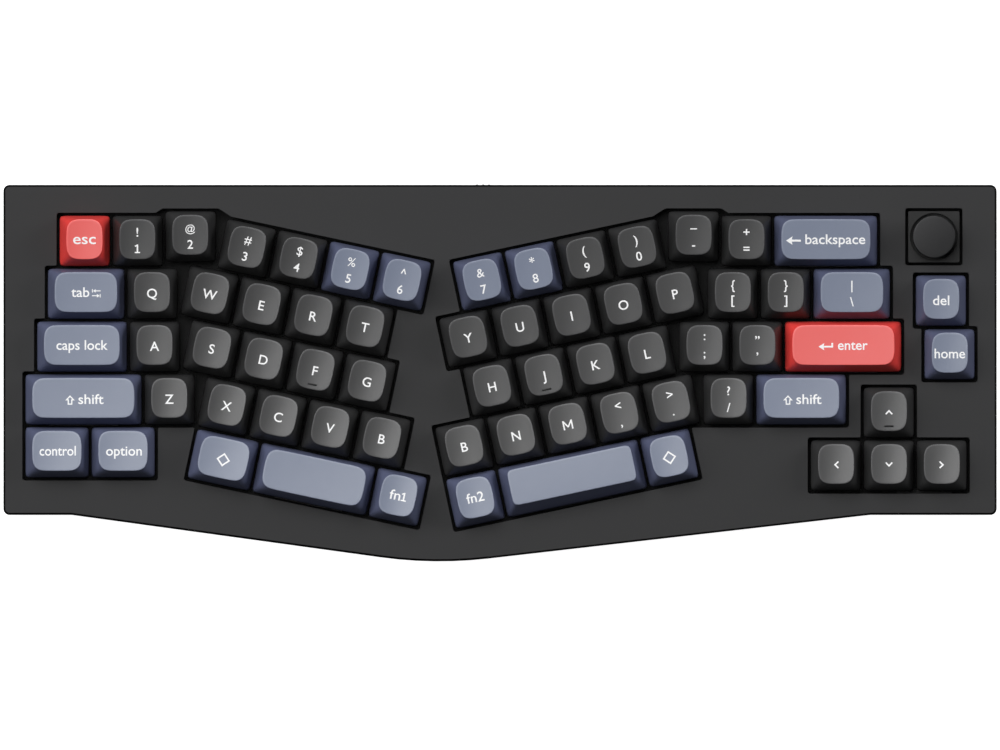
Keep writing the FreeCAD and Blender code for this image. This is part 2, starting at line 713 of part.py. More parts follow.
def homing_bar(key):
    """Bar on the front of the dish that the finger finds."""
    length, width, height = (size("homing_bar_" + way) for way in ("length", "width", "height"))
    top_front = size("cap_set_back") - (PITCH - size("cap_gap") - size("cap_shortening")) / 2
    front = top_front + size("homing_bar_inset")
    top = size("cap_height_%d" % key.row) + top_slope(key.row) * top_front + size("homing_bar_proud")
    return Part.makeBox(length, width, height, V(-length / 2, front, top - height))


def make_keys():
    """One node for each key, and one for each group of letter keys."""
    grouped = [name for names in KEY_GROUPS.values() for name in names]
    for name, key in KEYS.items():
        if name not in grouped:
            node(raw("key_" + name, Part.Compound(key_solids(key))), "key_" + name)
    for label, names in KEY_GROUPS.items():
        solids = [solid for name in names for solid in key_solids(KEYS[name])]
        node(raw(label, Part.Compound(solids)), label)


# Switches and stabilisers.
def frustum(lower, upper):
    """Solid with flat faces between two outlines."""
    faces = [facet(*lower[::-1]), facet(*upper)] + band(lower, upper)
    return Part.Solid(Part.Shell(faces))


def raised(points, height):
    """Points moved up to a height."""
    return [V(p.x, p.y, height) for p in points]


def switch_housing(key):
    """Body of one switch: lower half through the plate, tapered upper half with its stem well."""
    plate_top = -size("plate_drop")
    top = plate_top + size("switch_rise")
    floor = -size("board_drop")
    lower_width = size("switch_hole") - 2 * size("switch_fit")
    lower = Part.makeBox(lower_width, lower_width, plate_top - floor,
                         V(-lower_width / 2, -lower_width / 2, floor))
    flange = size("switch_flange")
    upper = frustum(raised(rectangle(flange, flange), plate_top),
                    raised(rectangle(size("switch_top"), size("switch_top")), top))
    well_width = size("stem_width") + 2 * size("stem_clearance")
    well_floor = -size("cap_drop") - size("stem_reach") - size("key_travel") - size("stem_clearance")
    well = Part.makeBox(well_width, well_width, top - well_floor,
                        V(-well_width / 2, -well_width / 2, well_floor))
    solid = upper.fuse(lower).removeSplitter().cut(well)
    return solid.Solids[0].transformed(Placement(key.at, Rotation(V(0, 0, 1), key.angle)).toMatrix())


def stabiliser_sites():
    """Middle and angle of each stabiliser housing."""
    for name in STABILISED_KEYS:
        for side in (-1, 1):
            yield on_key(KEYS[name], side * size("stabiliser_reach")), KEYS[name].angle


def make_switches():
    """Switch bodies and stabiliser bodies, each a group of loose solids."""
    node(raw("switch_housings", Part.Compound([switch_housing(key) for key in KEYS.values()])),
         "switch_housings")
    housings = []
    for i, (at, angle) in enumerate(stabiliser_sites()):
        housing = block("stabiliser_housing_%d" % i, "sizes.stabiliser_width", "sizes.stabiliser_depth",
                        "sizes.board_drop - sizes.plate_drop + sizes.stabiliser_rise",
                        at + V(0, 0, -size("board_drop")), angle)
        well_floor = -size("cap_drop") - size("stem_reach") - size("key_travel") - size("stem_clearance")
        well = block("stabiliser_well_%d" % i, "sizes.stabiliser_stem + 2 * sizes.stem_clearance",
                     "sizes.stabiliser_stem + 2 * sizes.stem_clearance", "sizes.board_drop",
                     at + V(0, 0, well_floor), angle)
        housings.append(cut("stabiliser_%d" % i, housing, well))
    node(group("stabiliser_housing_set", housings), "stabiliser_housings")
    node(raw("stabiliser_wire_set", Part.Compound([wire_of(KEYS[name]) for name in STABILISED_KEYS])),
         "stabiliser_wires")


def wire_of(key):
    """Bent wire that joins the two stabilisers of a wide key."""
    reach = size("stabiliser_reach")
    height = -size("plate_drop") + size("wire_radius") + size("wire_gap")
    back = -size("stabiliser_depth") / 2
    front = -size("wire_front")
    path = [V(across, along, height)
            for across, along in ((-reach, back), (-reach, front), (reach, front), (reach, back))]
    spine = Part.makePolygon(path)
    ring = [path[0] + V(size("wire_radius") * math.cos(a), 0, size("wire_radius") * math.sin(a))
            for a in (math.radians(60 * k) for k in range(6))]
    solid = spine.makePipeShell([polygon(ring)], True, False, 1)
    if solid.Volume < 0:
        solid.reverse()
    return solid.transformed(Placement(key.at, Rotation(V(0, 0, 1), key.angle)).toMatrix())


# Plate, circuit board, foam and gaskets, which hang between the two halves of the case.
def make_plate_stack():
    """Switch plate with its holes, circuit board, foam and gasket strips."""
    gap = size("inner_clearance")
    holes = [polygon(rectangle(size("switch_hole"), size("switch_hole"), key.at, key.angle))
             for key in KEYS.values()]
    holes += [polygon(rectangle(size("stabiliser_width") + 2 * size("switch_fit"),
                                size("stabiliser_depth") + 2 * size("switch_fit"), at, angle))
              for at, angle in stabiliser_sites()]
    encoder_hole = size("encoder_width") + 2 * gap
    holes.append(polygon(rectangle(encoder_hole, encoder_hole, knob_centre())))
    outline = case_wire(size("side_wall") + gap, size("end_wall") + gap)
    node(slab("plate", [outline] + holes, "-sizes.plate_drop",
              "(-sizes.plate_drop - sizes.plate_thickness)"), "switch_plate")
    ledge = size("gasket_ledge")
    outline = case_wire(size("side_wall") + ledge + gap, size("end_wall") + ledge + gap)
    node(slab("board", [outline], "-sizes.board_drop", "(-sizes.board_drop - sizes.board_thickness)"),
         "circuit_board")
    outline = case_wire(size("side_wall") + ledge + 2 * gap, size("end_wall") + ledge + 2 * gap)
    node(slab("foam", [outline], "-sizes.board_drop - sizes.board_thickness - sizes.foam_clearance",
              "-sizes.cavity_depth"), "case_foam")
    strips = []
    for i, (at, angle) in enumerate(gasket_sites()):
        strips.append(block("upper_gasket_%d" % i, "sizes.gasket_length", "sizes.gasket_width",
                            "sizes.plate_drop - sizes.bezel_thickness",
                            at + V(0, 0, -size("plate_drop")), angle))
        strips.append(block("lower_gasket_%d" % i, "sizes.gasket_length", "sizes.gasket_width",
                            "sizes.seam_depth - sizes.plate_drop - sizes.plate_thickness",
                            at + V(0, 0, -size("seam_depth")), angle))
    node(group("gasket_set", strips), "gasket_strips")


# Pairs of gasket strips: the side of the outline they lie along, and the share of its length.
GASKET_SITES = ((0, 0.5), (1, 0.6), (2, 0.2), (2, 0.75), (3, 0.25), (3, 0.8), (4, 0.5), (5, 0.5),
                (6, 0.12), (6, 0.5), (6, 0.88))


def gasket_sites():
    """Middle and angle of each pair of gasket strips, along the edge of the plate."""
    gap = size("inner_clearance") + size("gasket_width") / 2 + size("gasket_edge_gap")
    corners = case_corners(size("side_wall") + gap, size("end_wall") + gap)
    for start, share in GASKET_SITES:
        first, second = corners[start], corners[(start + 1) % len(corners)]
        if (second - first).Length > size("gasket_length"):
            along = second - first
            yield first + along * share, math.degrees(math.atan2(along.y, along.x))


# The case.
def knob_centre():
    """Middle of the volume knob."""
    return V(half_length() - size("knob_inset"), size("row_1_v") + size("knob_lift"), 0)


def screw_sites():
    """Middle of each case screw: three along the rear, three along the front."""
    corners = case_corners(0.0, size("screw_inset"))
    rear = corners[0].y
    for side in (-1, 0, 1):
        yield V(side * size("screw_spacing"), rear, 0)
    for u in (-size("screw_spacing"), size("apex_shift"), size("screw_spacing")):
        yield V(u, front_edge(corners, u), 0)


def front_edge(corners, u):
    """The front edge of an outline at one place along the case."""
    front = corners[1:6]
    for first, second in zip(front, front[1:]):
        if first.x <= u <= second.x:
            return first.y + (second.y - first.y) * (u - first.x) / (second.x - first.x)
    return front[0].y


def screw_prisms(name, radius, height, depth):
    """An upright prism at each screw, from a depth below the top face."""
    return group(name, [prism("%s_%d" % (name, i), radius, height, at + V(0, 0, -depth))
                        for i, at in enumerate(screw_sites())])


def make_upper_case():
    """Bezel with the key openings and the side band below it."""
    body = slab("upper_body", [case_wire()], "0", "-sizes.seam_depth")
    doc.recompute()
    bevel = doc.addObject("Part::Chamfer", "upper_bevel")
    bevel.Base = body
    width = size("case_edge_chamfer")
    bevel.Edges = [(i, width, width) for i, edge in enumerate(body.Shape.Edges, 1)
                   if all(abs(vertex.Z) < 1e-6 for vertex in edge.Vertexes)]
    cavity = slab("upper_cavity", [case_wire(size("side_wall"), size("end_wall"))],
                  "-sizes.bezel_thickness", "(-sizes.seam_depth - sizes.cutter_overrun)")
    window = rectangle(size("knob_window"), size("knob_window"), knob_centre())
    openings = [left_opening(), right_opening(), editing_opening(), arrow_opening(), window]
    openings = slab("key_openings", [polygon(points) for points in openings],
                    "sizes.cutter_overrun", "(-sizes.bezel_thickness - sizes.cutter_overrun)")
    threads = screw_prisms("screw_threads", "sizes.screw_radius + sizes.screw_fit",
                           "sizes.seam_depth - sizes.screw_tip + sizes.screw_tip_gap + sizes.cutter_overrun",
                           size("seam_depth") + size("cutter_overrun"))
    node(cut("upper_case", bevel, cavity, openings, threads), "top_case")


def make_lower_case():
    """Tray with a level underside, the connector bay and the rear openings."""
    blank = slab("lower_body", [case_wire()], "-sizes.seam_depth", "%g" % BOTTOM)
    reach = 4 * half_length()
    desk = doc.addObject("Part::Box", "below_the_feet")
    desk.Length = reach
    desk.Width = reach
    desk.Height = reach
    level = Placement(V(-reach / 2, -reach / 2, size("foot_height") - reach), Rotation())
    desk.Placement = TYPING.inverse().multiply(level)
    ledge = size("gasket_ledge")
    cavity = slab("lower_cavity", [case_wire(size("side_wall") + ledge, size("end_wall") + ledge)],
                  "(-sizes.seam_depth + sizes.cutter_overrun)", "-sizes.cavity_depth")
    bay = block("connector_bay", "sizes.bay_length", "sizes.bay_width",
                "sizes.bay_depth + sizes.cutter_overrun",
                bay_centre() + V(0, 0, -size("cavity_depth") - size("bay_depth")))
    recess = block("plug_recess", "sizes.plug_recess_width", "2 * sizes.plug_recess_depth",
                   "sizes.plug_recess_height",
                   V(socket_u(), case_rear(), socket_middle() - size("plug_recess_height") / 2))
    mouth = block("socket_mouth", "sizes.socket_width + 2 * sizes.slide_clearance", "4 * sizes.end_wall",
                  "sizes.socket_height + 2 * sizes.slide_clearance",
                  V(socket_u(), inner_rear(),
                    socket_middle() - size("socket_height") / 2 - size("slide_clearance")))
    slot = block("slide_slot", "sizes.slide_width + sizes.slide_travel + 2 * sizes.slide_clearance",
                 "4 * sizes.end_wall", "sizes.slide_height + 2 * sizes.slide_clearance",
                 V(slide_u() + size("slide_travel") / 2, case_rear(),
                   slide_middle() - size("slide_height") / 2 - size("slide_clearance")))
    shanks = screw_prisms("screw_holes", "sizes.screw_radius + 2 * sizes.screw_fit",
                          "sizes.screw_seat - sizes.seam_depth + 2 * sizes.cutter_overrun",
                          size("screw_seat") + size("cutter_overrun"))
    sinks = screw_prisms("screw_sinks", "sizes.screw_head_radius + 2 * sizes.screw_fit", "%g" % -BOTTOM,
                         size("screw_seat") - BOTTOM)
    node(cut("lower_case", blank, desk, cavity, bay, recess, mouth, slot, shanks, sinks), "bottom_case")


def make_screws_and_feet():
    """Screws that clamp the two halves, and the feet."""
    parts = []
    for i, at in enumerate(screw_sites()):
        shank = prism("screw_shank_%d" % i, "sizes.screw_radius", "sizes.screw_seat - sizes.screw_tip",
                      at + V(0, 0, -size("screw_seat")))
        head = prism("screw_head_%d" % i, "sizes.screw_head_radius", "sizes.screw_head_height",
                     at + V(0, 0, -size("screw_seat") - size("screw_head_height")))
        screw = doc.addObject("Part::Fuse", "screw_%d" % i)
        screw.Base = head
        screw.Tool = shank
        parts.append(screw)
    node(group("screw_set", parts), "case_screws")
    feet = []
    for i, at in enumerate(foot_sites()):
        end = size("foot_depth") / 2 - size("round_end_flat")
        corners = rectangle(size("foot_length"), size("foot_depth"), at)
        outline = Part.makePolygon(faceted(corners, end))
        feet.append(slab("foot_%d" % i, [outline], "sizes.foot_height", "0"))
    node(group("foot_set", feet), "rubber_feet", Placement())


def faceted(corners, radius):
    """Closed list of points with each corner replaced by three short facets."""
    points = []
    for i, corner in enumerate(corners):
        before = (corners[i - 1] - corner).normalize()
        after = (corners[(i + 1) % 4] - corner).normalize()
        centre = corner + before * radius + after * radius
        for share in (0, 30, 60, 90):
            angle = math.radians(share)
            points.append(centre - after * radius * math.cos(angle) - before * radius * math.sin(angle))
    return points + [points[0]]


def foot_sites():
    """Middle of each foot on the desk."""
    rear = TYPING.multVec(V(0, case_rear(), 0)).y - size("foot_end_inset")
    corners = case_corners(0.0, size("foot_end_inset"))
    for side in (-1, 1):
        u = side * size("foot_spacing") / 2
        yield V(u, rear, 0)
        yield V(u, TYPING.multVec(V(u, front_edge(corners, u), 0)).y, 0)


# Connector board in its bay at the rear.
def inner_rear():
    """Inner face of the rear wall of the lower case."""
    return case_rear() - size("end_wall") - size("gasket_ledge")


def bay_centre():
    """Middle of the connector bay."""
    return V(size("bay_u"), inner_rear() - size("bay_width") / 2, 0)


def bay_board_top():
    """Top of the connector board."""
    return -size("cavity_depth") - size("bay_depth") + size("connector_board_thickness")


def socket_u():
    """Middle of the cable socket along the case."""
    return size("bay_u") - size("bay_length") / 2 + size("socket_inset")


def slide_u():
    """Middle of the slide switch cap at rest, along the case."""
    return size("bay_u") + size("bay_length") / 2 - size("slide_inset")


def socket_middle():
    """Height of the middle of the cable socket."""
    return bay_board_top() + size("socket_height") / 2


def slide_middle():
    """Height of the middle of the slide switch."""
    return bay_board_top() + size("slide_height") / 2 + size("slide_clearance")


def make_connectors():
    """Connector board, cable socket and slide switch."""
    board_middle = bay_centre() + V(0, 0, bay_board_top() - size("connector_board_thickness"))
    node(block("connector_board", "sizes.bay_length - 2 * sizes.inner_clearance",
               "sizes.bay_width - 2 * sizes.inner_clearance", "sizes.connector_board_thickness",
               board_middle), "connector_board")
    make_socket()
    body_v = inner_rear() - size("inner_clearance") - size("slide_body_depth") / 2
    node(block("slide_body", "sizes.slide_body_length", "sizes.slide_body_depth",
               "sizes.slide_height + sizes.slide_clearance",
               V(slide_u() + size("slide_travel") / 2, body_v, bay_board_top())),
         "slide_switch_body")
    make_slide_cap()


def make_socket():
    """Sheet-metal shell of the cable socket with the tongue inside."""
    mouth = case_rear() - size("plug_recess_depth") - size("socket_set_back")
    middle = V(socket_u(), mouth - size("socket_depth") / 2, 0)
    width, height = size("socket_width"), size("socket_height")
    corner = height / 2 - size("round_end_flat")
    upright = [V(p.x, 0, p.y) for p in rectangle(width, height, V(0, height / 2, 0))]
    outer = Part.makePolygon(faceted(upright, corner))
    shell = Part.Face(outer).extrude(V(0, size("socket_depth"), 0))
    wall = size("socket_wall")
    upright = [V(p.x, wall, p.y) for p in rectangle(width - 2 * wall, height - 2 * wall, V(0, height / 2, 0))]
    inner = Part.makePolygon(faceted(upright, corner - wall))
    shell = shell.cut(Part.Face(inner).extrude(V(0, size("socket_depth"), 0)))
    tongue_width = width * size("tongue_width_share")
    tongue = Part.makeBox(tongue_width, size("socket_depth") * size("tongue_depth_share"),
                          size("socket_tongue"),
                          V(-tongue_width / 2, wall, height / 2 - size("socket_tongue") / 2))
    shape = shell.fuse(tongue).removeSplitter()
    seat = V(middle.x, mouth - size("socket_depth"), bay_board_top())
    node(raw("cable_socket", shape.transformed(Placement(seat, Rotation()).toMatrix())), "usb_socket")


def make_slide_cap():
    """Cap of the slide switch in its slot, with three ribs for the fingertip."""
    inner = inner_rear() - size("inner_clearance") + size("slide_clearance")
    width, height = size("slide_width"), size("slide_height")
    rib_height = size("slide_rib_height")
    face = case_rear() + size("slide_proud") - rib_height
    bar = Part.makeBox(width, face - inner, height, V(-width / 2, inner, -height / 2))
    rib_width = size("slide_rib_width")
    ribs = [Part.makeBox(rib_width, rib_height, height,
                         V(step * size("slide_rib_pitch") - rib_width / 2, face, -height / 2))
            for step in (-1, 0, 1)]
    shape = bar.multiFuse(ribs).removeSplitter()
    seat = Placement(V(slide_u(), 0, slide_middle()), Rotation())
    node(raw("slide_cap", shape.transformed(seat.toMatrix())), "slide_switch_cap")


# Volume knob on its encoder.
def body_with_sketch(name, role):
    """New body with a sketch on one of its own origin planes."""
    body = doc.addObject("PartDesign::Body", name)
    sketch = add_sketch(body, name + "_profile", role)
    return body, sketch


def add_sketch(body, name, role):
    """Sketch on an origin plane of a body."""
    plane = [item for item in body.Origin.OriginFeatures if item.Role == role][0]
    sketch = body.newObject("Sketcher::SketchObject", name)
    sketch.AttachmentSupport = [(plane, "")]
    sketch.MapMode = "FlatFace"
    return sketch


def make_knob():
    """Turned knob with a bevelled rim, a shallow hollow on top and a blind bore below."""
    body, sketch = body_with_sketch("knob_body", "XZ_Plane")
    radius, height = size("knob_radius"), size("knob_height")
    bore = size("shaft_radius") + size("shaft_fit")
    edge, dish, deep = size("knob_edge"), size("knob_dish"), size("knob_bore_depth")
    corners = [V(bore, 0, 0), V(radius, 0, 0), V(radius, height - edge, 0), V(radius - edge, height, 0),
               V(size("knob_dish_radius"), height - dish, 0), V(0, height - dish, 0), V(0, deep, 0),
               V(bore, deep, 0)]
    for i, start in enumerate(corners):
        sketch.addGeometry(Part.LineSegment(start, corners[(i + 1) % len(corners)]))
    turned = body.newObject("PartDesign::Revolution", "knob_turned")
    turned.Profile = sketch
    turned.ReferenceAxis = (sketch, ["V_Axis"])
    turned.Angle = 360
    body.Placement = Placement(knob_centre() + V(0, 0, size("knob_rise") - height), Rotation())
    node(body, "volume_knob")


def make_surround():
    """Square insert of the knob: round recess above, pocket for the encoder below."""
    width, corner = size("surround_width"), size("surround_corner")
    height = "(sizes.plate_drop - sizes.surround_drop)"
    outline = Part.makePolygon(faceted(rectangle(width, width, knob_centre()), corner))
    base = slab("surround_blank", [outline], "-sizes.surround_drop", "-sizes.plate_drop")
    floor = -size("surround_drop") - size("recess_depth")
    recess = cylinder("surround_recess", "sizes.recess_radius", height, knob_centre() + V(0, 0, floor))
    hole = prism("surround_hole", "sizes.encoder_bore + sizes.stem_clearance", "2 * " + height,
                 knob_centre() + V(0, 0, -size("plate_drop") - size("cutter_overrun")), 16)
    top_of_encoder = "(sizes.encoder_height - sizes.board_drop + sizes.plate_drop)"
    pocket = block("surround_pocket", "sizes.encoder_width + 2 * sizes.inner_clearance",
                   "sizes.encoder_width + 2 * sizes.inner_clearance",
                   top_of_encoder + " + sizes.encoder_headroom + sizes.cutter_overrun",
                   knob_centre() + V(0, 0, -size("plate_drop") - size("cutter_overrun")))
    node(cut("surround", base, recess, hole, pocket), "knob_surround")


def make_encoder():
    """Encoder body, press plate and shaft."""
    foot = knob_centre() + V(0, 0, -size("board_drop"))
    case = block("encoder_case", "sizes.encoder_width", "sizes.encoder_width", "sizes.encoder_height", foot)
    floor = size("encoder_floor")
    bore = prism("encoder_bore", "sizes.encoder_bore", "sizes.encoder_height", foot + V(0, 0, floor), 16)
    node(cut("encoder", case, bore), "encoder_body")
    plunger_at = floor + size("knob_press") + size("stem_clearance")
    node(prism("press_plate", "sizes.encoder_bore - sizes.stem_clearance", "sizes.plunger_height",
               foot + V(0, 0, plunger_at), 16), "encoder_plunger")
    shaft_foot = plunger_at + size("plunger_height") + size("shaft_fit")
    top = size("knob_rise") - size("knob_height") + size("knob_bore_depth") + size("board_drop")
    shaft = cylinder("shaft", "sizes.shaft_radius", "%g" % (top - shaft_foot), foot + V(0, 0, shaft_foot))
    node(shaft, "encoder_shaft")


make_upper_case()
make_lower_case()
make_plate_stack()
make_switches()
make_keys()
make_screws_and_feet()
make_connectors()
make_surround()
make_encoder()
make_knob()
doc.recompute()

for item in doc.Objects:
    if "Invalid" in item.State or "Error" in item.State:
        raise RuntimeError("%s failed: %s" % (item.Name, item.State))
for feature in NODES:
    if feature.Shape.isNull() or not feature.Shape.isValid():
        raise RuntimeError("%s has no valid shape" % feature.Label)

os.makedirs("parts", exist_ok=True)
for feature in NODES:
    feature.Shape.exportStep("parts/%s.step" % feature.Label)
print(len(NODES), "nodes,", sum(len(feature.Shape.Solids) for feature in NODES), "solids,",
      len(KEYS), "keys")
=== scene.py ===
# %% [markdown]
# A keyboard whose letter keys stand in two blocks, each turned towards one hand. The case, the keys and the
# knob come in as a fixed frame of plain solids with flat facets. This lesson dresses that frame: it rounds
# what is rounded on the real object, prints the legends, and gives every surface its finish.

# %% Load the frame
import json
import math
from collections import namedtuple

import bmesh
import bpy
from mathutils import Matrix, Vector
from mathutils.bvhtree import BVHTree


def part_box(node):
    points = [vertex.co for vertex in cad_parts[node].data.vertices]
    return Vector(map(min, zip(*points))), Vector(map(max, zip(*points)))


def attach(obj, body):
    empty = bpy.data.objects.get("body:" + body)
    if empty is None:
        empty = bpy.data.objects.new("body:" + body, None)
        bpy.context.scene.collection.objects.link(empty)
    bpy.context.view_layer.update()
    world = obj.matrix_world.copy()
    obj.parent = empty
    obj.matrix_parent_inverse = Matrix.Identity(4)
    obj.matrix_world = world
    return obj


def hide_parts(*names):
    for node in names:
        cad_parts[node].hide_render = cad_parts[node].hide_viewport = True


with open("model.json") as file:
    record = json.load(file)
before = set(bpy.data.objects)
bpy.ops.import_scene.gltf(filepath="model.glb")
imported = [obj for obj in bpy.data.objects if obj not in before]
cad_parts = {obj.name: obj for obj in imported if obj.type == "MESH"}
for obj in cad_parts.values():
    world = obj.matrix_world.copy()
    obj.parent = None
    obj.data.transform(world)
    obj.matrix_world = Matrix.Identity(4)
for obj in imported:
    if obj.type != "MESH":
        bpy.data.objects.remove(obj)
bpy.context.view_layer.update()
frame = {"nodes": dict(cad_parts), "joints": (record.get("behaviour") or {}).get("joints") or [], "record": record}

MM = 0.001

# %% [markdown]
# The keys of a real keyboard stand square to its sloping top face. So every piece here is first made flat,
# with x to the right, y to the rear and z out of the top face, and one matrix then lays it on the slope.
# The joint of the volume knob gives that matrix, because its axis is square to the top face and its foot
# lies on it.

# %% Typing plane
KNOB_AT = (156.39 * MM, 49.1 * MM)
knob_joint = next(joint for joint in frame["joints"] if joint["name"] == "knob_turn")
UP = Vector(knob_joint["axis"]).normalized()
REAR = UP.cross(Vector((1, 0, 0))).normalized()
foot = Vector(knob_joint["pos_m"]) - Vector((1, 0, 0)) * KNOB_AT[0] - REAR * KNOB_AT[1]
PLANE = Matrix((
    (1, REAR.x, UP.x, foot.x),
    (0, REAR.y, UP.y, foot.y),
    (0, REAR.z, UP.z, foot.z),
    (0, 0, 0, 1)))
print("slope of the top face: %.2f degrees" % math.degrees(math.atan2(REAR.z, REAR.y)))

# %% [markdown]
# The photograph looks square down on the top face from far away: keys at both ends show the same amount of
# their left and right sides. A long lens more than ten metres off gives that flat view and still lets other
# views frame the object by themselves.

# %% Camera
VIEW_WIDTH = 360.45 * MM
VIEW_MIDDLE = -0.70 * MM
CAMERA_DISTANCE = 12.5


def add_object(name, data):
    """New object in the scene."""
    item = bpy.data.objects.new(name, data)
    bpy.context.scene.collection.objects.link(item)
    return item


camera_data = bpy.data.cameras.new("photo_camera")
camera_data.sensor_width = 36.0
camera_data.lens = camera_data.sensor_width * CAMERA_DISTANCE / VIEW_WIDTH
camera_data.clip_end = 60.0
camera = add_object("photo_camera", camera_data)
camera.matrix_world = PLANE @ Matrix.Translation((0, VIEW_MIDDLE, CAMERA_DISTANCE))
bpy.context.scene.camera = camera
print("lens: %.0f mm at %.0f m" % (camera_data.lens, CAMERA_DISTANCE))

# %% [markdown]
# A product photograph on white is lit by soft boxes in a dim room. The large one hangs above, a little
# behind and to the left, so the rear and left flanks of each key are lighter than the others. Two small ones
# stand low at both ends and bring out the side flanks. The floor glows white for the camera, but adds
# nothing to the light on the keys and isn't mirrored in them: it would turn the front flanks grey, which
# are nearly black in the photograph.

# %% Light and floor
def soft_box(name, place, size, power):
    """Square area light that looks at the middle of the object."""
    data = bpy.data.lights.new(name, "AREA")
    data.shape = "SQUARE"
    data.size = size
    data.energy = power
    lamp = add_object(name, data)
    lamp.location = place
    lamp.rotation_euler = (-Vector(place)).to_track_quat("-Z", "Y").to_euler()


soft_box("soft_box_above", (-0.65, 0.80, 2.1), 2.1, 54.0)
soft_box("soft_box_right", (1.5, 0.45, 0.9), 0.8, 11.5)
soft_box("soft_box_left", (-1.5, 0.3, 0.9), 0.8, 6.0)

world = bpy.data.worlds.new("pale_room")
world.use_nodes = True
room_light = world.node_tree.nodes["Background"]
room_light.inputs["Color"].default_value = (0.93, 0.96, 1.0, 1.0)
room_light.inputs["Strength"].default_value = 0.05
bpy.context.scene.world = world
bpy.context.scene.view_settings.view_transform = "Standard"

FLOOR_HALF = 20.0
floor_mesh = bpy.data.meshes.new("floor")
floor_mesh.from_pydata([(-FLOOR_HALF, -FLOOR_HALF, 0), (FLOOR_HALF, -FLOOR_HALF, 0),
                        (FLOOR_HALF, FLOOR_HALF, 0), (-FLOOR_HALF, FLOOR_HALF, 0)], [], [(0, 1, 2, 3)])
floor = add_object("floor", floor_mesh)
floor.visible_diffuse = False
floor.visible_glossy = False
paper = bpy.data.materials.new("white_paper")
paper.use_nodes = True
paper_shader = paper.node_tree.nodes["Principled BSDF"]
paper_shader.inputs["Base Color"].default_value = (0.92, 0.92, 0.92, 1)
paper_shader.inputs["Roughness"].default_value = 0.9
paper_shader.inputs["Emission Color"].default_value = (1, 1, 1, 1)
paper_shader.inputs["Emission Strength"].default_value = 1.0
floor_mesh.materials.append(paper)
print("lights:", [item.name for item in bpy.context.scene.objects if item.type == "LIGHT"])

# %% [markdown]
# Node trees are long to write out by hand. A small helper lets sums be written as sums: adding or
# multiplying two fields puts a Math node in the tree and returns its output as the next field. The same
# helper serves Geometry Nodes and shaders, because both use the same Math node.

# %% Fields
class Field:
    """Output socket of a node tree that can be reckoned with."""

    def __init__(self, tree, socket):
        self.tree = tree
        self.socket = socket

    def math(self, operation, *others):
        """This field and others through one Math node."""
        node = self.tree.nodes.new("ShaderNodeMath")
        node.operation = operation
        for slot, value in enumerate((self,) + others):
            plug(self.tree, value, node.inputs[slot])
        return Field(self.tree, node.outputs[0])

    def __add__(self, other):
        return self.math("ADD", other)

    def __sub__(self, other):
        return self.math("SUBTRACT", other)

    def __mul__(self, other):
        return self.math("MULTIPLY", other)

    def __truediv__(self, other):
        return self.math("DIVIDE", other)

    def __pow__(self, other):
        return self.math("POWER", other)

    def from_one(self):
        """One less this field."""
        return self * -1.0 + 1.0

    def ramp(self, start, end):
        """0 before start, 1 after end and straight between them."""
        node = self.tree.nodes.new("ShaderNodeMapRange")
        plug(self.tree, self, node.inputs["Value"])
        node.inputs["From Min"].default_value = start
        node.inputs["From Max"].default_value = end
        return Field(self.tree, node.outputs["Result"])

    def between(self, low, high):
        """Low where this field is 0, high where it is 1."""
        return self * (high - low) + low


def plug(tree, value, socket):
    """Link a field to a socket, or set the socket to a plain value."""
    if isinstance(value, Field):
        tree.links.new(value.socket, socket)
    else:
        socket.default_value = value


SOCKETS = {float: "NodeSocketFloat", int: "NodeSocketInt", "material": "NodeSocketMaterial",
           "geometry": "NodeSocketGeometry"}


def new_tree(kind, name, inputs, outputs):
    """Node tree with named inputs and outputs; returns it with its inputs as fields."""
    tree = bpy.data.node_groups.new(name, kind)
    for label, value in inputs:
        socket_kind = value if value in SOCKETS else type(value)
        socket = tree.interface.new_socket(label, in_out="INPUT", socket_type=SOCKETS[socket_kind])
        if socket_kind in (float, int):
            socket.default_value = value
    for label, socket_kind in outputs:
        tree.interface.new_socket(label, in_out="OUTPUT", socket_type=SOCKETS[socket_kind])
    source = tree.nodes.new("NodeGroupInput")
    sink = tree.nodes.new("NodeGroupOutput")
    return tree, {socket.name: Field(tree, socket) for socket in source.outputs if socket.name}, sink


def finish_tree(tree, mesh, material, sink):
    """Last nodes of a tree that makes a piece: smooth shading, plain mesh, finish."""
    smooth = tree.nodes.new("GeometryNodeSetShadeSmooth")
    real = tree.nodes.new("GeometryNodeRealizeInstances")
    painted = tree.nodes.new("GeometryNodeSetMaterial")
    plug(tree, mesh, smooth.inputs["Geometry"])
    tree.links.new(smooth.outputs[0], real.inputs[0])
    tree.links.new(real.outputs[0], painted.inputs["Geometry"])
    plug(tree, material, painted.inputs["Material"])
    tree.links.new(painted.outputs[0], sink.inputs["Geometry"])


def grow(tree, values):
    """Run a Geometry Nodes tree with its inputs set by name, and return the plain mesh."""
    holder = add_object("growing", bpy.data.meshes.new("growing"))
    modifier = holder.modifiers.new("growing", "NODES")
    modifier.node_group = tree
    for item in tree.interface.items_tree:
        if item.item_type == "SOCKET" and item.in_out == "INPUT" and item.name in values:
            modifier[item.identifier] = values[item.name]
    depsgraph = bpy.context.evaluated_depsgraph_get()
    mesh = bpy.data.meshes.new_from_object(holder.evaluated_get(depsgraph))
    bpy.data.objects.remove(holder)
    return mesh
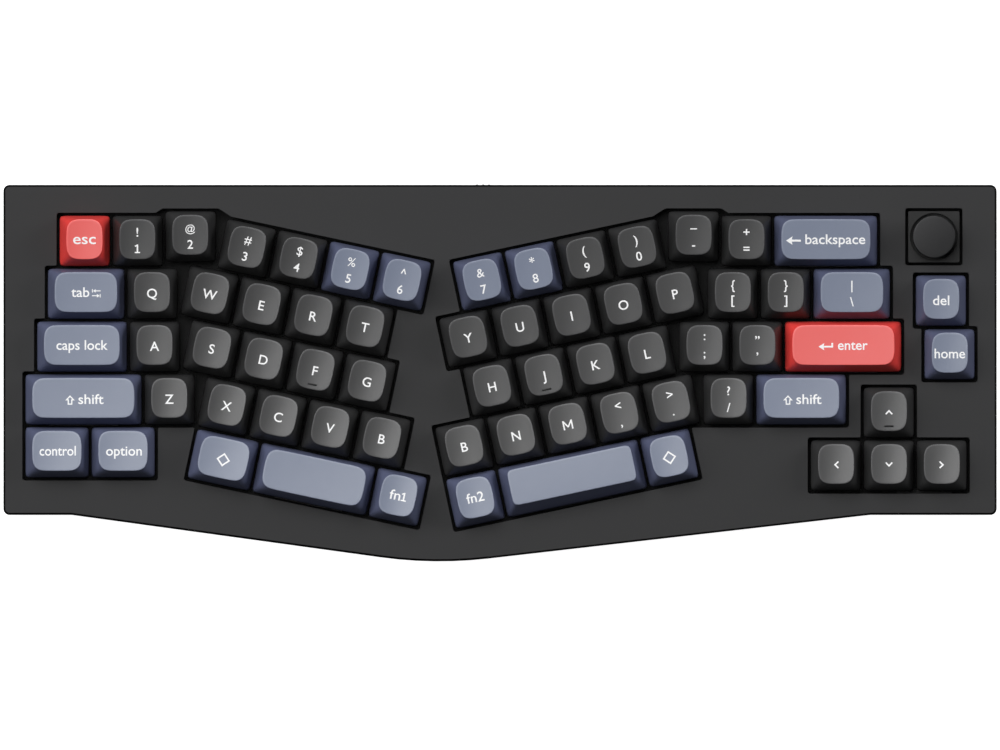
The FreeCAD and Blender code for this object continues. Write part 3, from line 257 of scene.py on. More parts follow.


# %% [markdown]
# Every finish has some unevenness: blasted and anodised aluminium has a fine grain, moulded plastic a
# finer one with a faint mottling. One shader group makes both, as a mask for colour and gloss and a height
# for the bump. It reads Object coordinates, so the grain stays put and keeps its size on every piece. Three
# more groups read masks that the pieces carry as attributes: a lighter rim on a keycap, which is a painted
# highlight with some wear; its top, painted lighter and paler as painted sheen under a real clear coat; and
# painted shade on the chamfers of the case and in the well under the knob.

# %% Shared shader groups
FINE_SHARE = 0.35
MOTTLE_RANGE = (0.3, 0.7)
PATCH_RANGE = (0.25, 0.65)
TOP_COAT_ROUGHNESS = 0.42
MIX_FACTOR, MIX_LOW, MIX_HIGH, MIX_COLOR = 0, 6, 7, 2


def coordinates(tree):
    """Object coordinates as a field."""
    return Field(tree, tree.nodes.new("ShaderNodeTexCoord").outputs["Object"])


def noise(tree, scale, detail=2.0):
    """Noise over the object, from 0 to 1."""
    node = tree.nodes.new("ShaderNodeTexNoise")
    plug(tree, coordinates(tree), node.inputs["Vector"])
    plug(tree, scale, node.inputs["Scale"])
    node.inputs["Detail"].default_value = detail
    return Field(tree, node.outputs["Fac"])


def make_grain_group():
    """Fine grain over a slow mottling."""
    tree, given, sink = new_tree("ShaderNodeTree", "surface_grain",
                                 [("Grain Scale", 3000.0), ("Mottle Scale", 40.0)],
                                 [("Mask", float), ("Height", float)])
    fine = noise(tree, given["Grain Scale"])
    slow = noise(tree, given["Mottle Scale"], 4.0)
    mask = fine * FINE_SHARE + slow.ramp(*MOTTLE_RANGE) * (1 - FINE_SHARE)
    plug(tree, mask, sink.inputs["Mask"])
    plug(tree, fine, sink.inputs["Height"])
    return tree


def make_mask_group(name, attribute, patch_scale, evenness):
    """Where an attribute of the piece marks its surface, broken up by noise; evenness 1 leaves it whole."""
    tree, given, sink = new_tree("ShaderNodeTree", name, [("Amount", 1.0), ("Patch Scale", patch_scale)],
                                 [("Mask", float)])
    marked = tree.nodes.new("ShaderNodeAttribute")
    marked.attribute_name = attribute
    patches = noise(tree, given["Patch Scale"]).ramp(*PATCH_RANGE)
    mask = Field(tree, marked.outputs["Fac"]) * patches.between(evenness, 1.0) * given["Amount"]
    plug(tree, mask, sink.inputs["Mask"])
    return tree


GRAIN = make_grain_group()
# Rim of a keycap: a painted highlight along the rounded upper edge, broken into patches with some wear.
RIM_WEAR_AND_HIGHLIGHT = make_mask_group("rim_wear_and_highlight", "rim", 600.0, 0.5)
# Top of a keycap: painted sheen, a lighter and paler colour, together with a real clear coat.
TOP_GLOSS_AND_SHEEN = make_mask_group("top_gloss_and_sheen", "top", 150.0, 0.94)
# Painted shade: chamfers and deep faces of the case are painted nearly black.
PAINTED_SHADE_MASK = make_mask_group("painted_shade_mask", "painted_shade", 300.0, 0.96)
print("shader groups:", [group.name for group in (GRAIN, RIM_WEAR_AND_HIGHLIGHT, TOP_GLOSS_AND_SHEEN, PAINTED_SHADE_MASK)])


def use_group(tree, group, **values):
    """Place a shader group in a material; underscores stand for spaces in the input names."""
    node = tree.nodes.new("ShaderNodeGroup")
    node.node_tree = group
    for name, value in values.items():
        node.inputs[name.replace("_", " ")].default_value = value
    return {socket.name: Field(tree, socket) for socket in node.outputs}


def mixed(tree, mask, low, high):
    """Colour that goes from low to high with a mask; each is a colour or a field."""
    node = tree.nodes.new("ShaderNodeMix")
    node.data_type = "RGBA"
    plug(tree, mask, node.inputs[MIX_FACTOR])
    for value, socket in ((low, node.inputs[MIX_LOW]), (high, node.inputs[MIX_HIGH])):
        plug(tree, value if isinstance(value, Field) else (*value, 1.0), socket)
    return Field(tree, node.outputs[MIX_COLOR])


def finish_of(name, low, high, roughness, metallic=0.0, specular=0.5, grain=3000.0, mottle=40.0, bump=0.05,
              depth=0.02 * MM, rim=None, top=None, painted_shade=None, coat=0.0):
    """Material that mottles between two colours and two roughnesses, with a fine bump."""
    material = bpy.data.materials.new(name)
    material.use_nodes = True
    tree = material.node_tree
    shader = tree.nodes["Principled BSDF"]
    surface = use_group(tree, GRAIN, Grain_Scale=grain, Mottle_Scale=mottle)
    color = mixed(tree, surface["Mask"], low, high)
    # The top mask paints the top lighter and paler as painted sheen and gives it a clear coat; the rim mask paints
    # a highlight with some wear; the shade mask paints marked faces nearly black as painted shade.
    for marked, group in ((top, TOP_GLOSS_AND_SHEEN), (rim, RIM_WEAR_AND_HIGHLIGHT), (painted_shade, PAINTED_SHADE_MASK)):
        if marked:
            mask = use_group(tree, group)["Mask"]
            color = mixed(tree, mask, color, marked)
            if group is TOP_GLOSS_AND_SHEEN:
                plug(tree, mask, shader.inputs["Coat Weight"])
                shader.inputs["Coat Roughness"].default_value = TOP_COAT_ROUGHNESS
    if coat:
        shader.inputs["Coat Weight"].default_value = coat
    plug(tree, color, shader.inputs["Base Color"])
    plug(tree, surface["Mask"].between(*roughness), shader.inputs["Roughness"])
    shader.inputs["Metallic"].default_value = metallic
    shader.inputs["Specular IOR Level"].default_value = specular
    relief = tree.nodes.new("ShaderNodeBump")
    relief.inputs["Strength"].default_value = bump
    relief.inputs["Distance"].default_value = depth
    plug(tree, surface["Height"], relief.inputs["Height"])
    tree.links.new(relief.outputs["Normal"], shader.inputs["Normal"])
    return material


# %% [markdown]
# The finishes. The case is dark grey anodised aluminium. The keycaps are moulded plastic in three colours:
# charcoal, slate blue and red. Their smooth flanks pick up the colour of the key beside them. The wires of
# the stabilisers are painted nearly black as painted shade, so that nothing bright shows between the keys.

# %% Finishes
FINISH = {
    # The darkest colour of the case is painted shade on its chamfers and in the well under the knob.
    "case_metal": finish_of("anodised_case", (0.0365, 0.0365, 0.0373), (0.0393, 0.0393, 0.0402), (0.58, 0.64),
                            specular=0.12, grain=4500.0, mottle=18.0, bump=0.04,
                            painted_shade=(0.0015, 0.0015, 0.0015)),
    "plate_metal": finish_of("anodised_plate", (0.006, 0.006, 0.006), (0.008, 0.008, 0.008), (0.50, 0.60),
                             specular=0.15, grain=4500.0),
    "knob_metal": finish_of("turned_knob", (0.036, 0.036, 0.037), (0.040, 0.040, 0.041), (0.40, 0.44),
                            metallic=0.9, specular=0.3, grain=5000.0, mottle=60.0),
    # Keycaps: the top colour is painted sheen, lighter and paler than the flanks; the rim colour is a painted
    # highlight with some wear.
    "cap_dark": finish_of("charcoal_plastic", (0.034, 0.034, 0.0345), (0.036, 0.036, 0.0365), (0.42, 0.44),
                          specular=0.5, grain=5200.0, mottle=60.0, top=(0.040, 0.040, 0.0405),
                          rim=(0.062, 0.062, 0.064)),
    "cap_blue": finish_of("slate_blue_plastic", (0.106, 0.120, 0.200), (0.111, 0.125, 0.208), (0.42, 0.44),
                          specular=0.45, grain=5200.0, mottle=60.0, top=(0.191, 0.220, 0.297),
                          rim=(0.23, 0.26, 0.34)),
    "cap_red": finish_of("red_plastic", (0.93, 0.062, 0.055), (0.95, 0.066, 0.058), (0.42, 0.44),
                         specular=0.5, grain=5200.0, mottle=60.0, top=(0.83, 0.126, 0.116),
                         rim=(0.92, 0.16, 0.15)),
    "legend": finish_of("white_legend", (0.92, 0.92, 0.92), (0.95, 0.95, 0.95), (0.45, 0.55), grain=5200.0),
    "switch_plastic": finish_of("switch_plastic", (0.008, 0.008, 0.009), (0.011, 0.011, 0.012), (0.35, 0.45)),
    "black_plastic": finish_of("black_plastic", (0.010, 0.010, 0.010), (0.014, 0.014, 0.014), (0.38, 0.48),
                               specular=0.3),
    "board": finish_of("board_lacquer", (0.010, 0.012, 0.011), (0.016, 0.019, 0.017), (0.25, 0.35), coat=0.3),
    "foam": finish_of("grey_foam", (0.020, 0.020, 0.020), (0.035, 0.035, 0.035), (0.85, 0.95), grain=1600.0,
                      bump=0.4, depth=0.1 * MM),
    "rubber": finish_of("foot_rubber", (0.016, 0.016, 0.016), (0.024, 0.024, 0.024), (0.70, 0.82),
                        grain=2600.0, bump=0.2),
    "steel": finish_of("brushed_steel", (0.42, 0.42, 0.43), (0.52, 0.52, 0.53), (0.28, 0.38), metallic=1.0,
                       grain=3500.0),
    # Steel painted nearly black as painted shade, so the wires stay dark between the keys.
    "black_steel": finish_of("shade_black_steel", (0.012, 0.012, 0.013), (0.018, 0.018, 0.019), (0.40, 0.50),
                             grain=3500.0),
}
SLOT_OF = {row["node"]: row["material_slot"] for row in frame["record"]["subparts"]}
# The stabiliser wires take the near-black steel as painted shade in the gaps between the keys.
SLOT_OF["stabiliser_wires"] = "black_steel"
for name, node in frame["nodes"].items():
    node.data.materials.clear()
    node.data.materials.append(FINISH[SLOT_OF[name]])
print(len(FINISH), "finishes on", len(frame["nodes"]), "nodes")

# %% [markdown]
# The case is milled from a block, so no edge on it is knife sharp: a cutter leaves round inner corners, and
# blasting breaks every edge a little. A copy of the plain solid gets its loose triangles merged back into
# large faces, and a Bevel modifier rounds the edges, more on the upright corners of the key openings. A
# Weighted Normal modifier keeps the large faces evenly shaded up to those edges. The chamfers and the
# floor of the well under the knob get painted shade: they are marked, and the case finish paints them
# nearly black. The insert round the knob is a touch smaller than its solid, so that the dark frame round it
# is as wide as in the photograph.

# %% Softened copies
WELD = 0.002 * MM
FLAT_WITHIN = math.radians(0.3)
EDGE_ANGLE = math.radians(25.0)
NEARLY_UPRIGHT = 0.99
CHAMFER_RISE = (0.6, 0.8)


def merged_copy(node_name):
    """Mesh of a node with its triangles joined into the faces they came from."""
    mesh = frame["nodes"][node_name].data.copy()
    mesh.name = node_name + "_softened"
    form = bmesh.new()
    form.from_mesh(mesh)
    bmesh.ops.remove_doubles(form, verts=form.verts, dist=WELD)
    bmesh.ops.dissolve_limit(form, angle_limit=FLAT_WITHIN, verts=form.verts, edges=form.edges)
    form.to_mesh(mesh)
    form.free()
    return mesh


def place_piece(name, mesh, body, slot, *nodes):
    """Piece of the object that rides on a body and stands for nodes."""
    piece = add_object(name, mesh)
    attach(piece, body)
    if nodes:
        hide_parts(*nodes)
    return piece


def soften(name, node_name, body, width, upright=None, rounds=3, dark_below=None):
    """Copy of a node with rounded edges; upright edges can have their own radius, and chamfers and faces deeper
    than dark_below are marked for painted shade.
    """
    mesh = merged_copy(node_name)
    mesh.polygons.foreach_set("use_smooth", [True] * len(mesh.polygons))
    form = bmesh.new()
    form.from_mesh(mesh)
    weight = form.edges.layers.float.new("bevel_weight_edge")
    painted_shade = form.faces.layers.float.new("painted_shade")
    for edge in form.edges:
        if edge.is_manifold and edge.calc_face_angle() > EDGE_ANGLE:
            along = (edge.verts[1].co - edge.verts[0].co).normalized()
            stands = upright and abs(along.dot(UP)) > NEARLY_UPRIGHT
            edge[weight] = 1.0 if stands or not upright else width / upright
    top = max(vertex.co.dot(UP) for vertex in form.verts)
    # Painted shade: chamfers and faces sunk below the top are marked, and the case finish paints them nearly
    # black.
    for face in form.faces:
        sunk = dark_below and face.calc_center_median().dot(UP) < top - dark_below
        chamfered = CHAMFER_RISE[0] < face.normal.dot(UP) < CHAMFER_RISE[1]
        face[painted_shade] = 1.0 if sunk or chamfered else 0.0
    form.to_mesh(mesh)
    form.free()
    piece = place_piece(name, mesh, body, SLOT_OF[node_name], node_name)
    bevel = piece.modifiers.new("rounded edges", "BEVEL")
    bevel.width = upright or width
    bevel.segments = rounds
    bevel.limit_method = "WEIGHT"
    bevel.use_clamp_overlap = not upright
    even = piece.modifiers.new("even shading", "WEIGHTED_NORMAL")
    even.weight = 100
    return piece


soften("bezel", "top_case", "keyboard", 0.15 * MM, upright=1.0 * MM)
soften("tray", "bottom_case", "keyboard", 0.25 * MM)
soften("feet", "rubber_feet", "keyboard", 0.35 * MM)
# The floor of the well under the knob is painted nearly black as painted shade.
insert = soften("knob_insert", "knob_surround", "keyboard", 0.15 * MM, dark_below=0.1 * MM)
soften("socket", "usb_socket", "keyboard", 0.05 * MM, rounds=2)
soften("slide_cap", "slide_switch_cap", "slide_switch_cap", 0.12 * MM)

INSERT_REACH, INSERT_SHARE = 9.0 * MM, 0.982
knob_foot = PLANE @ Matrix.Translation((*KNOB_AT, 0))
for vertex in insert.data.vertices:
    flat = knob_foot.inverted() @ vertex.co
    if max(abs(flat.x), abs(flat.y)) > INSERT_REACH:
        vertex.co = knob_foot @ Vector((flat.x * INSERT_SHARE, flat.y * INSERT_SHARE, flat.z))

# %% [markdown]
# The keys. Their pitch of 19.05 mm, their widths in units and the turn of the two blocks are the same
# values that the frame was made with, so each new cap lands on the body that moves it.

# %% Key layout
PITCH = 19.05 * MM
ROW_1 = 47.6 * MM
LIFT = 1.6 * MM
LIFTED = ("2", "minus")
BLOCK_ANGLE = {"left": -12.0, "right": 12.0}
RIGHT_PIVOT_X = -11.4 * MM
PIVOT_DROP = {"left": 0.4 * MM, "right": 16.07 * MM}
SPLIT_GAP = 7.25 * MM
ROW_GAPS = (3.4 * MM, 3.9 * MM, 3.7 * MM, 3.75 * MM)
ARROW_DROP = 4.75 * MM
LONE_KEYS = {"delete": (2, "backslash", 8.35 * MM, 2.45 * MM), "home": (3, "enter", 7.4 * MM, 2.75 * MM),
             "up": (4, "right_shift", 5.4 * MM, ARROW_DROP)}
Key = namedtuple("Key", "name width row at angle")
KEYS = {}


def single(text):
    """Keys of one unit named by their letters."""
    return [(letter, 1.0) for letter in text]


TURNED_ROWS = {
    "left": [(0.0, single("3456")), (-0.5, single("wert")), (-0.25, single("sdfg")), (0.25, single("xcvb")),
             (0.275, [("left_command", 1.25), ("left_space", 2.25), ("fn1", 1.0)])],
    "right": [(-0.02, single("7890")), (-0.5, single("yuiop")), (-0.25, single("hjkl")),
              (-1.0, [("second_b", 1.0)] + single("nm") + [("comma", 1.0), ("period", 1.0)]),
              (-1.0, [("fn2", 1.0), ("right_space", 2.75), ("right_command", 1.0)])]}
OUTER_ROWS = {
    "left": [[("esc", 1.0), ("1", 1.0), ("2", 1.0)], [("tab", 1.5), ("q", 1.0)],
             [("caps_lock", 1.75), ("a", 1.0)], [("left_shift", 2.25), ("z", 1.0)]],
    "right": [[("minus", 1.0), ("equals", 1.0), ("backspace", 2.0)],
              [("left_bracket", 1.0), ("right_bracket", 1.0), ("backslash", 1.5)],
              [("semicolon", 1.0), ("quote", 1.0), ("enter", 2.25)], [("slash", 1.0), ("right_shift", 1.75)]]}


def row_y(row):
    """Middle of a straight row."""
    return ROW_1 - (row - 1) * PITCH


def units(keys):
    """Width of a row in key units."""
    return sum(width for _, width in keys)


def in_block(side, x, y):
    """Vector in key units in the directions of a turned block."""
    return Matrix.Rotation(math.radians(BLOCK_ANGLE[side]), 3, "Z") @ Vector((x * PITCH, y * PITCH, 0))


def row_end(side, row, end):
    """Rear corner at one end of a turned row, seen from its pivot key: end 0 left, 1 right."""
    start, keys = TURNED_ROWS[side][row - 1]
    return in_block(side, start + end * units(keys), 2.5 - row)


def add_row(row, anchor, angle, start, keys):
    """Set keys side by side, the first with its left side at start units from the anchor."""
    turn = Matrix.Rotation(math.radians(angle), 3, "Z")
    for name, width in keys:
        lift = LIFT if name in LIFTED else 0.0
        along = (start + width / 2) * PITCH
        KEYS[name] = Key(name, width, row, anchor + turn @ Vector((along, lift, 0)), angle)
        start += width


def straight_row(row, left, keys, drop=0.0):
    """Row of outer keys, from its left side."""
    add_row(row, Vector((left, row_y(row) - drop, 0)), 0.0, 0.0, keys)


def side_of(name, side):
    """Left (-1) or right (1) side of an outer key."""
    return KEYS[name].at.x + side * KEYS[name].width * PITCH / 2


apart = SPLIT_GAP - row_end("right", 4, 0).x + row_end("left", 4, 1).x
PIVOTS = {"left": Vector((RIGHT_PIVOT_X - apart, row_y(2) - PIVOT_DROP["left"], 0)),
          "right": Vector((RIGHT_PIVOT_X, row_y(2) - PIVOT_DROP["right"], 0))}
for side, rows in TURNED_ROWS.items():
    for row, (start, keys) in enumerate(rows, 1):
        add_row(row, PIVOTS[side] + in_block(side, 0, 2 - row), BLOCK_ANGLE[side], start, keys)
for row, (keys, gap) in enumerate(zip(OUTER_ROWS["left"], ROW_GAPS), 1):
    straight_row(row, PIVOTS["left"].x + row_end("left", row, 0).x - gap - units(keys) * PITCH, keys)
for row, (keys, gap) in enumerate(zip(OUTER_ROWS["right"], ROW_GAPS), 1):
    straight_row(row, PIVOTS["right"].x + row_end("right", row, 1).x + gap, keys)
straight_row(5, side_of("left_shift", -1), [("control", 1.25), ("option", 1.25)])
for name, (row, neighbour, gap, drop) in LONE_KEYS.items():
    straight_row(row, side_of(neighbour, 1) + gap, [(name, 1.0)], drop)
straight_row(5, side_of("up", -1) - PITCH, [("left", 1.0), ("down", 1.0), ("right", 1.0)], ARROW_DROP)

SHARED = {"upper_letter_keys": list("qwertyuiop"),
          "home_letter_keys": list("asdfghjkl") + ["semicolon"],
          "lower_letter_keys": list("zxcvb") + ["second_b"] + list("nm") + ["comma", "period", "slash"]}
BODY_KEYS = {"key_" + name: [name] for name in KEYS if not any(name in names for names in SHARED.values())}
BODY_KEYS.update(SHARED)

# %% [markdown]
# A keycap is a hollow shell. Seen from above it is a rounded square on a larger square skirt: the flanks
# lean in, the upper edge is softly rounded and the top is dished for the fingertip. Every cap follows that
# one rule, so a Geometry Nodes tree makes them all. It starts from a sphere. The lowest rings of the sphere
# are pushed up inside as the hollow, and the others become the flanks, the rounded edge and the dish. The
# pole at the crest is taken off, and the ring round it folds shut along the middle of the dish. A wide cap
# is the same cap with its two ends pulled apart, and the points between them spread out evenly, so that its
# middle runs straight.

# %% Keycap tree
RINGS = 32
CEILING_EDGE, WALL_FOOT, SKIRT_FOOT, SKIRT_EDGE = (ring / RINGS for ring in (2, 3, 4, 5))
SHOULDER, RIM, CREST = (ring / RINGS for ring in (13, 17, 31))
STRAIGHT = 0.35
HOLLOW_LENGTH, HOLLOW_BACK = 14.55 * MM, 0.6 * MM
HOLLOW_SHARPNESS = 0.6
POLE = 0.999
FOOT_EDGE = 0.2 * MM
CROWDING = 0.15
ROUNDING_PACE = 0.55
CREST_WELD = 0.001 * MM


def outline(angle_cos, angle_sin, power):
    """Distance from the middle of a rounded square of half side 1, whose corners sharpen with the power."""
    total = angle_cos.math("ABSOLUTE") ** power + angle_sin.math("ABSOLUTE") ** power
    return total ** (power ** -1.0 * -1.0)


def make_cap_tree():
    """Keycap standing on z = 0, x across and y to the rear."""
    tree, given, sink = new_tree(
        "GeometryNodeTree", "keycap",
        [("Skirt", 18.2 * MM), ("Top Width", 13.1 * MM), ("Top Length", 14.55 * MM), ("Set Back", 0.6 * MM),
         ("Height", 9.0 * MM), ("Slope", 0.0), ("Dish", 0.75 * MM), ("Curve Across", 1.0),
         ("Curve Along", 0.15), ("Edge", 0.3 * MM), ("Wall", 1.4 * MM), ("Roof", 2.4 * MM),
         ("Extra Width", 0.0), ("Skirt Power", 16.0), ("Top Power", 3.5), ("Segments", 64),
         ("Material", "material")],
        [("Geometry", "geometry")])
    ball = tree.nodes.new("GeometryNodeMeshUVSphere")
    plug(tree, given["Segments"], ball.inputs["Segments"])
    ball.inputs["Rings"].default_value = RINGS
    parts = tree.nodes.new("ShaderNodeSeparateXYZ")
    tree.links.new(tree.nodes.new("GeometryNodeInputPosition").outputs[0], parts.inputs[0])
    ball_x, ball_y, ball_z = (Field(tree, socket) for socket in parts.outputs)
    level = ball_z.math("ARCCOSINE") * (-1 / math.pi) + 1.0
    even = ball_y.math("ARCTAN2", ball_x)
    angle = even + (even * 4.0).math("SINE") * CROWDING
    cos, sin = angle.math("COSINE"), angle.math("SINE")
    off_pole = ball_z.math("ABSOLUTE").math("LESS_THAN", POLE)
    pull = (cos / STRAIGHT).math("MINIMUM", 1.0).math("MAXIMUM", -1.0) * off_pole * given["Extra Width"] * 0.5

    rise = level.ramp(SKIRT_EDGE, SHOULDER)
    turn = level.ramp(SHOULDER, RIM) * (math.pi / 2)
    inwards = level.ramp(RIM, CREST)
    foot_edge = level.ramp(SKIRT_FOOT, SKIRT_EDGE)
    shrink = turn.math("COSINE").from_one() * given["Edge"] + foot_edge.from_one() * FOOT_EDGE
    share = inwards.from_one()
    half_x = (rise.between(given["Skirt"] / 2.0, given["Top Width"] / 2.0) - shrink) * share
    half_y = (rise.between(given["Skirt"] / 2.0, given["Top Length"] / 2.0) - shrink) * share
    reach = outline(cos, sin, (rise ** ROUNDING_PACE).between(given["Skirt Power"], given["Top Power"]))
    out_x = half_x * reach * cos
    out_y = half_y * reach * sin + given["Set Back"] * rise
    top = given["Height"] + given["Slope"] * out_y
    across = (out_x + pull) / ((given["Top Width"] + given["Extra Width"]) / 2.0)
    along = (out_y - given["Set Back"]) / (given["Top Length"] / 2.0)
    curved_across = (across * across * given["Curve Across"]).from_one()
    curved_along = (along * along * given["Curve Along"]).from_one()
    scoop = curved_across * curved_along
    hollowed = scoop.math("MAXIMUM", 0.0) * given["Dish"] * level.ramp(SKIRT_EDGE, SHOULDER)
    out_z = ((top - given["Edge"]) * rise + turn.math("SINE") * given["Edge"] - hollowed
             + foot_edge * rise.from_one() * FOOT_EDGE)

    up = level.ramp(CEILING_EDGE, WALL_FOOT).from_one()
    spread = level.ramp(0.0, CEILING_EDGE)
    in_x = up.between(given["Skirt"] / 2.0 - given["Wall"], given["Top Width"] / 2.0 - given["Wall"]) * spread
    in_y = up.between(given["Skirt"] / 2.0 - given["Wall"], given["Wall"] * -1.0 + HOLLOW_LENGTH / 2) * spread
    in_reach = outline(cos, sin, given["Skirt Power"] * HOLLOW_SHARPNESS)
    in_z = (given["Height"] - given["Roof"]) * up

    inside = level.math("LESS_THAN", (WALL_FOOT + SKIRT_FOOT) / 2)
    x = inside.between(out_x, in_x * in_reach * cos) + pull
    y = inside.between(out_y, in_y * in_reach * sin + up * HOLLOW_BACK)
    z = inside.between(out_z, in_z)

    joined = tree.nodes.new("ShaderNodeCombineXYZ")
    for value, socket in zip((x, y, z), joined.inputs):
        plug(tree, value, socket)
    # rim_mask carries the painted highlight with some wear on the rim; top_mask carries the painted sheen on the
    # top.
    rim_mask = level.ramp(SHOULDER, SHOULDER + 2 / RINGS) * level.ramp(RIM, RIM + 1 / RINGS).from_one()
    top_mask = level.ramp(RIM - 1 / RINGS, RIM)
    open_crest = tree.nodes.new("GeometryNodeDeleteGeometry")
    tree.links.new(ball.outputs["Mesh"], open_crest.inputs["Geometry"])
    plug(tree, level.math("GREATER_THAN", CREST + 0.5 / RINGS), open_crest.inputs["Selection"])
    shell = open_crest.outputs[0]
    for name, mask in (("rim", rim_mask), ("top", top_mask)):
        kept = tree.nodes.new("GeometryNodeStoreNamedAttribute")
        kept.data_type = "FLOAT"
        kept.domain = "POINT"
        kept.inputs["Name"].default_value = name
        tree.links.new(shell, kept.inputs["Geometry"])
        plug(tree, mask, kept.inputs["Value"])
        shell = kept.outputs[0]
    moved = tree.nodes.new("GeometryNodeSetPosition")
    tree.links.new(shell, moved.inputs["Geometry"])
    tree.links.new(joined.outputs[0], moved.inputs["Position"])
    closed = tree.nodes.new("GeometryNodeMergeByDistance")
    closed.inputs["Distance"].default_value = CREST_WELD
    tree.links.new(moved.outputs[0], closed.inputs["Geometry"])
    finish_tree(tree, Field(tree, closed.outputs[0]), given["Material"], sink)
    return tree


CAP_TREE = make_cap_tree()
print("keycap tree:", len(CAP_TREE.nodes), "nodes")

# %% [markdown]
# The rows of a sculpted keyboard differ in height and in the tilt of their tops, so that the fingers meet
# each row square on. Wide keys have a shallower dish, and the right space bar has a faint arch instead,
# because a thumb rolls over it. Equal caps are grown once and share their mesh.

# %% Keycaps
CAP_HEIGHT = {1: 11.0 * MM, 2: 9.8 * MM, 3: 9.2 * MM, 4: 9.0 * MM, 5: 9.2 * MM}
CAP_DROP = 1.5 * MM
REAR_TILT, TILT_STEP = 7.0, 2.5
BLUE = {"5", "6", "7", "8", "tab", "caps_lock", "left_shift", "right_shift", "control", "option",
        "left_command", "right_command", "fn1", "fn2", "left_space", "right_space", "backspace", "backslash",
        "delete", "home"}
RED = {"esc", "enter"}
HOMING = ("f", "j", "up")
WIDE = 1.5
WIDE_DISH = 0.6 * MM


def slope_of(row):
    """Slope of a row's key tops towards the front."""
    return math.tan(math.radians(REAR_TILT - TILT_STEP * (row - 1)))


def cap_slot(name):
    """Colour of a key."""
    return "cap_blue" if name in BLUE else "cap_red" if name in RED else "cap_dark"


cap_meshes = {}


def cap_mesh(key):
    """Keycap of one width, row and colour; equal keys share one mesh."""
    slot = cap_slot(key.name)
    arched = key.name == "right_space"
    kind = (key.width, key.row, slot, arched)
    if kind not in cap_meshes:
        values = {"Extra Width": (key.width - 1) * PITCH, "Height": CAP_HEIGHT[key.row],
                  "Slope": slope_of(key.row), "Material": FINISH[slot]}
        if key.width >= WIDE:
            values["Dish"] = WIDE_DISH
        if arched:
            values.update({"Dish": -0.05 * MM, "Curve Across": 0.1, "Curve Along": 1.0, "Top Power": 7.0,
                           "Top Width": 12.3 * MM, "Top Length": 13.1 * MM, "Set Back": 1.2 * MM})
        cap_meshes[kind] = grow(CAP_TREE, values)
    return cap_meshes[kind]


def key_matrix(key):
    """From a key's own directions, skirt foot at z = 0, to its place in the object."""
    turn = Matrix.Rotation(math.radians(key.angle), 4, "Z")
    return PLANE @ Matrix.Translation(key.at - Vector((0, 0, CAP_DROP))) @ turn


def bar_mesh(width, depth, height, at, radius, finish):
    """Small block with rounded edges."""
    form = bmesh.new()
    sized = Matrix.Translation(at) @ Matrix.Diagonal((width, depth, height, 1))
    bmesh.ops.create_cube(form, size=1.0, matrix=sized)
    bmesh.ops.bevel(form, geom=form.edges, offset=radius, segments=3, profile=0.5, affect="EDGES")
    mesh = bpy.data.meshes.new("bar")
    form.to_mesh(mesh)
    form.free()
    mesh.materials.append(finish)
    mesh.polygons.foreach_set("use_smooth", [True] * len(mesh.polygons))
    return mesh


def joined_mesh(name, parts, finish):
    """One mesh with one finish from several, each laid out by its own matrix."""
    form = bmesh.new()
    for mesh, matrix in parts:
        copy = mesh.copy()
        copy.transform(matrix)
        form.from_mesh(copy)
        bpy.data.meshes.remove(copy)
    for face in form.faces:
        face.material_index = 0
    result = bpy.data.meshes.new(name)
    form.to_mesh(result)
    form.free()
    result.materials.append(finish)
    return result


# %% [markdown]
# Under its roof a cap has a post that goes down to the switch, and a wide cap has two more for its
# stabiliser. Posts move with the cap, so they are joined to it, and keys that share a body are joined too.
# Three keys carry a low bar by which the fingers find their place. It is moulded in the cap's own plastic,
# but drawn black as painted shade for its shaded front face. A ray cast down on the cap gives
# the height of its dish there.

# %% Posts and homing bars
ABOVE_CAPS = 30 * MM


def surface_of(cap):
    """Faces of a cap, ready for rays."""
    points = [vertex.co for vertex in cap.vertices]
    return BVHTree.FromPolygons(points, [face.vertices for face in cap.polygons])


def surface_height(surface, x, y):
    """Height of a cap's top at one place."""
    hit = surface.ray_cast(Vector((x, y, ABOVE_CAPS)), Vector((0, 0, -1)))
    return hit[0].z


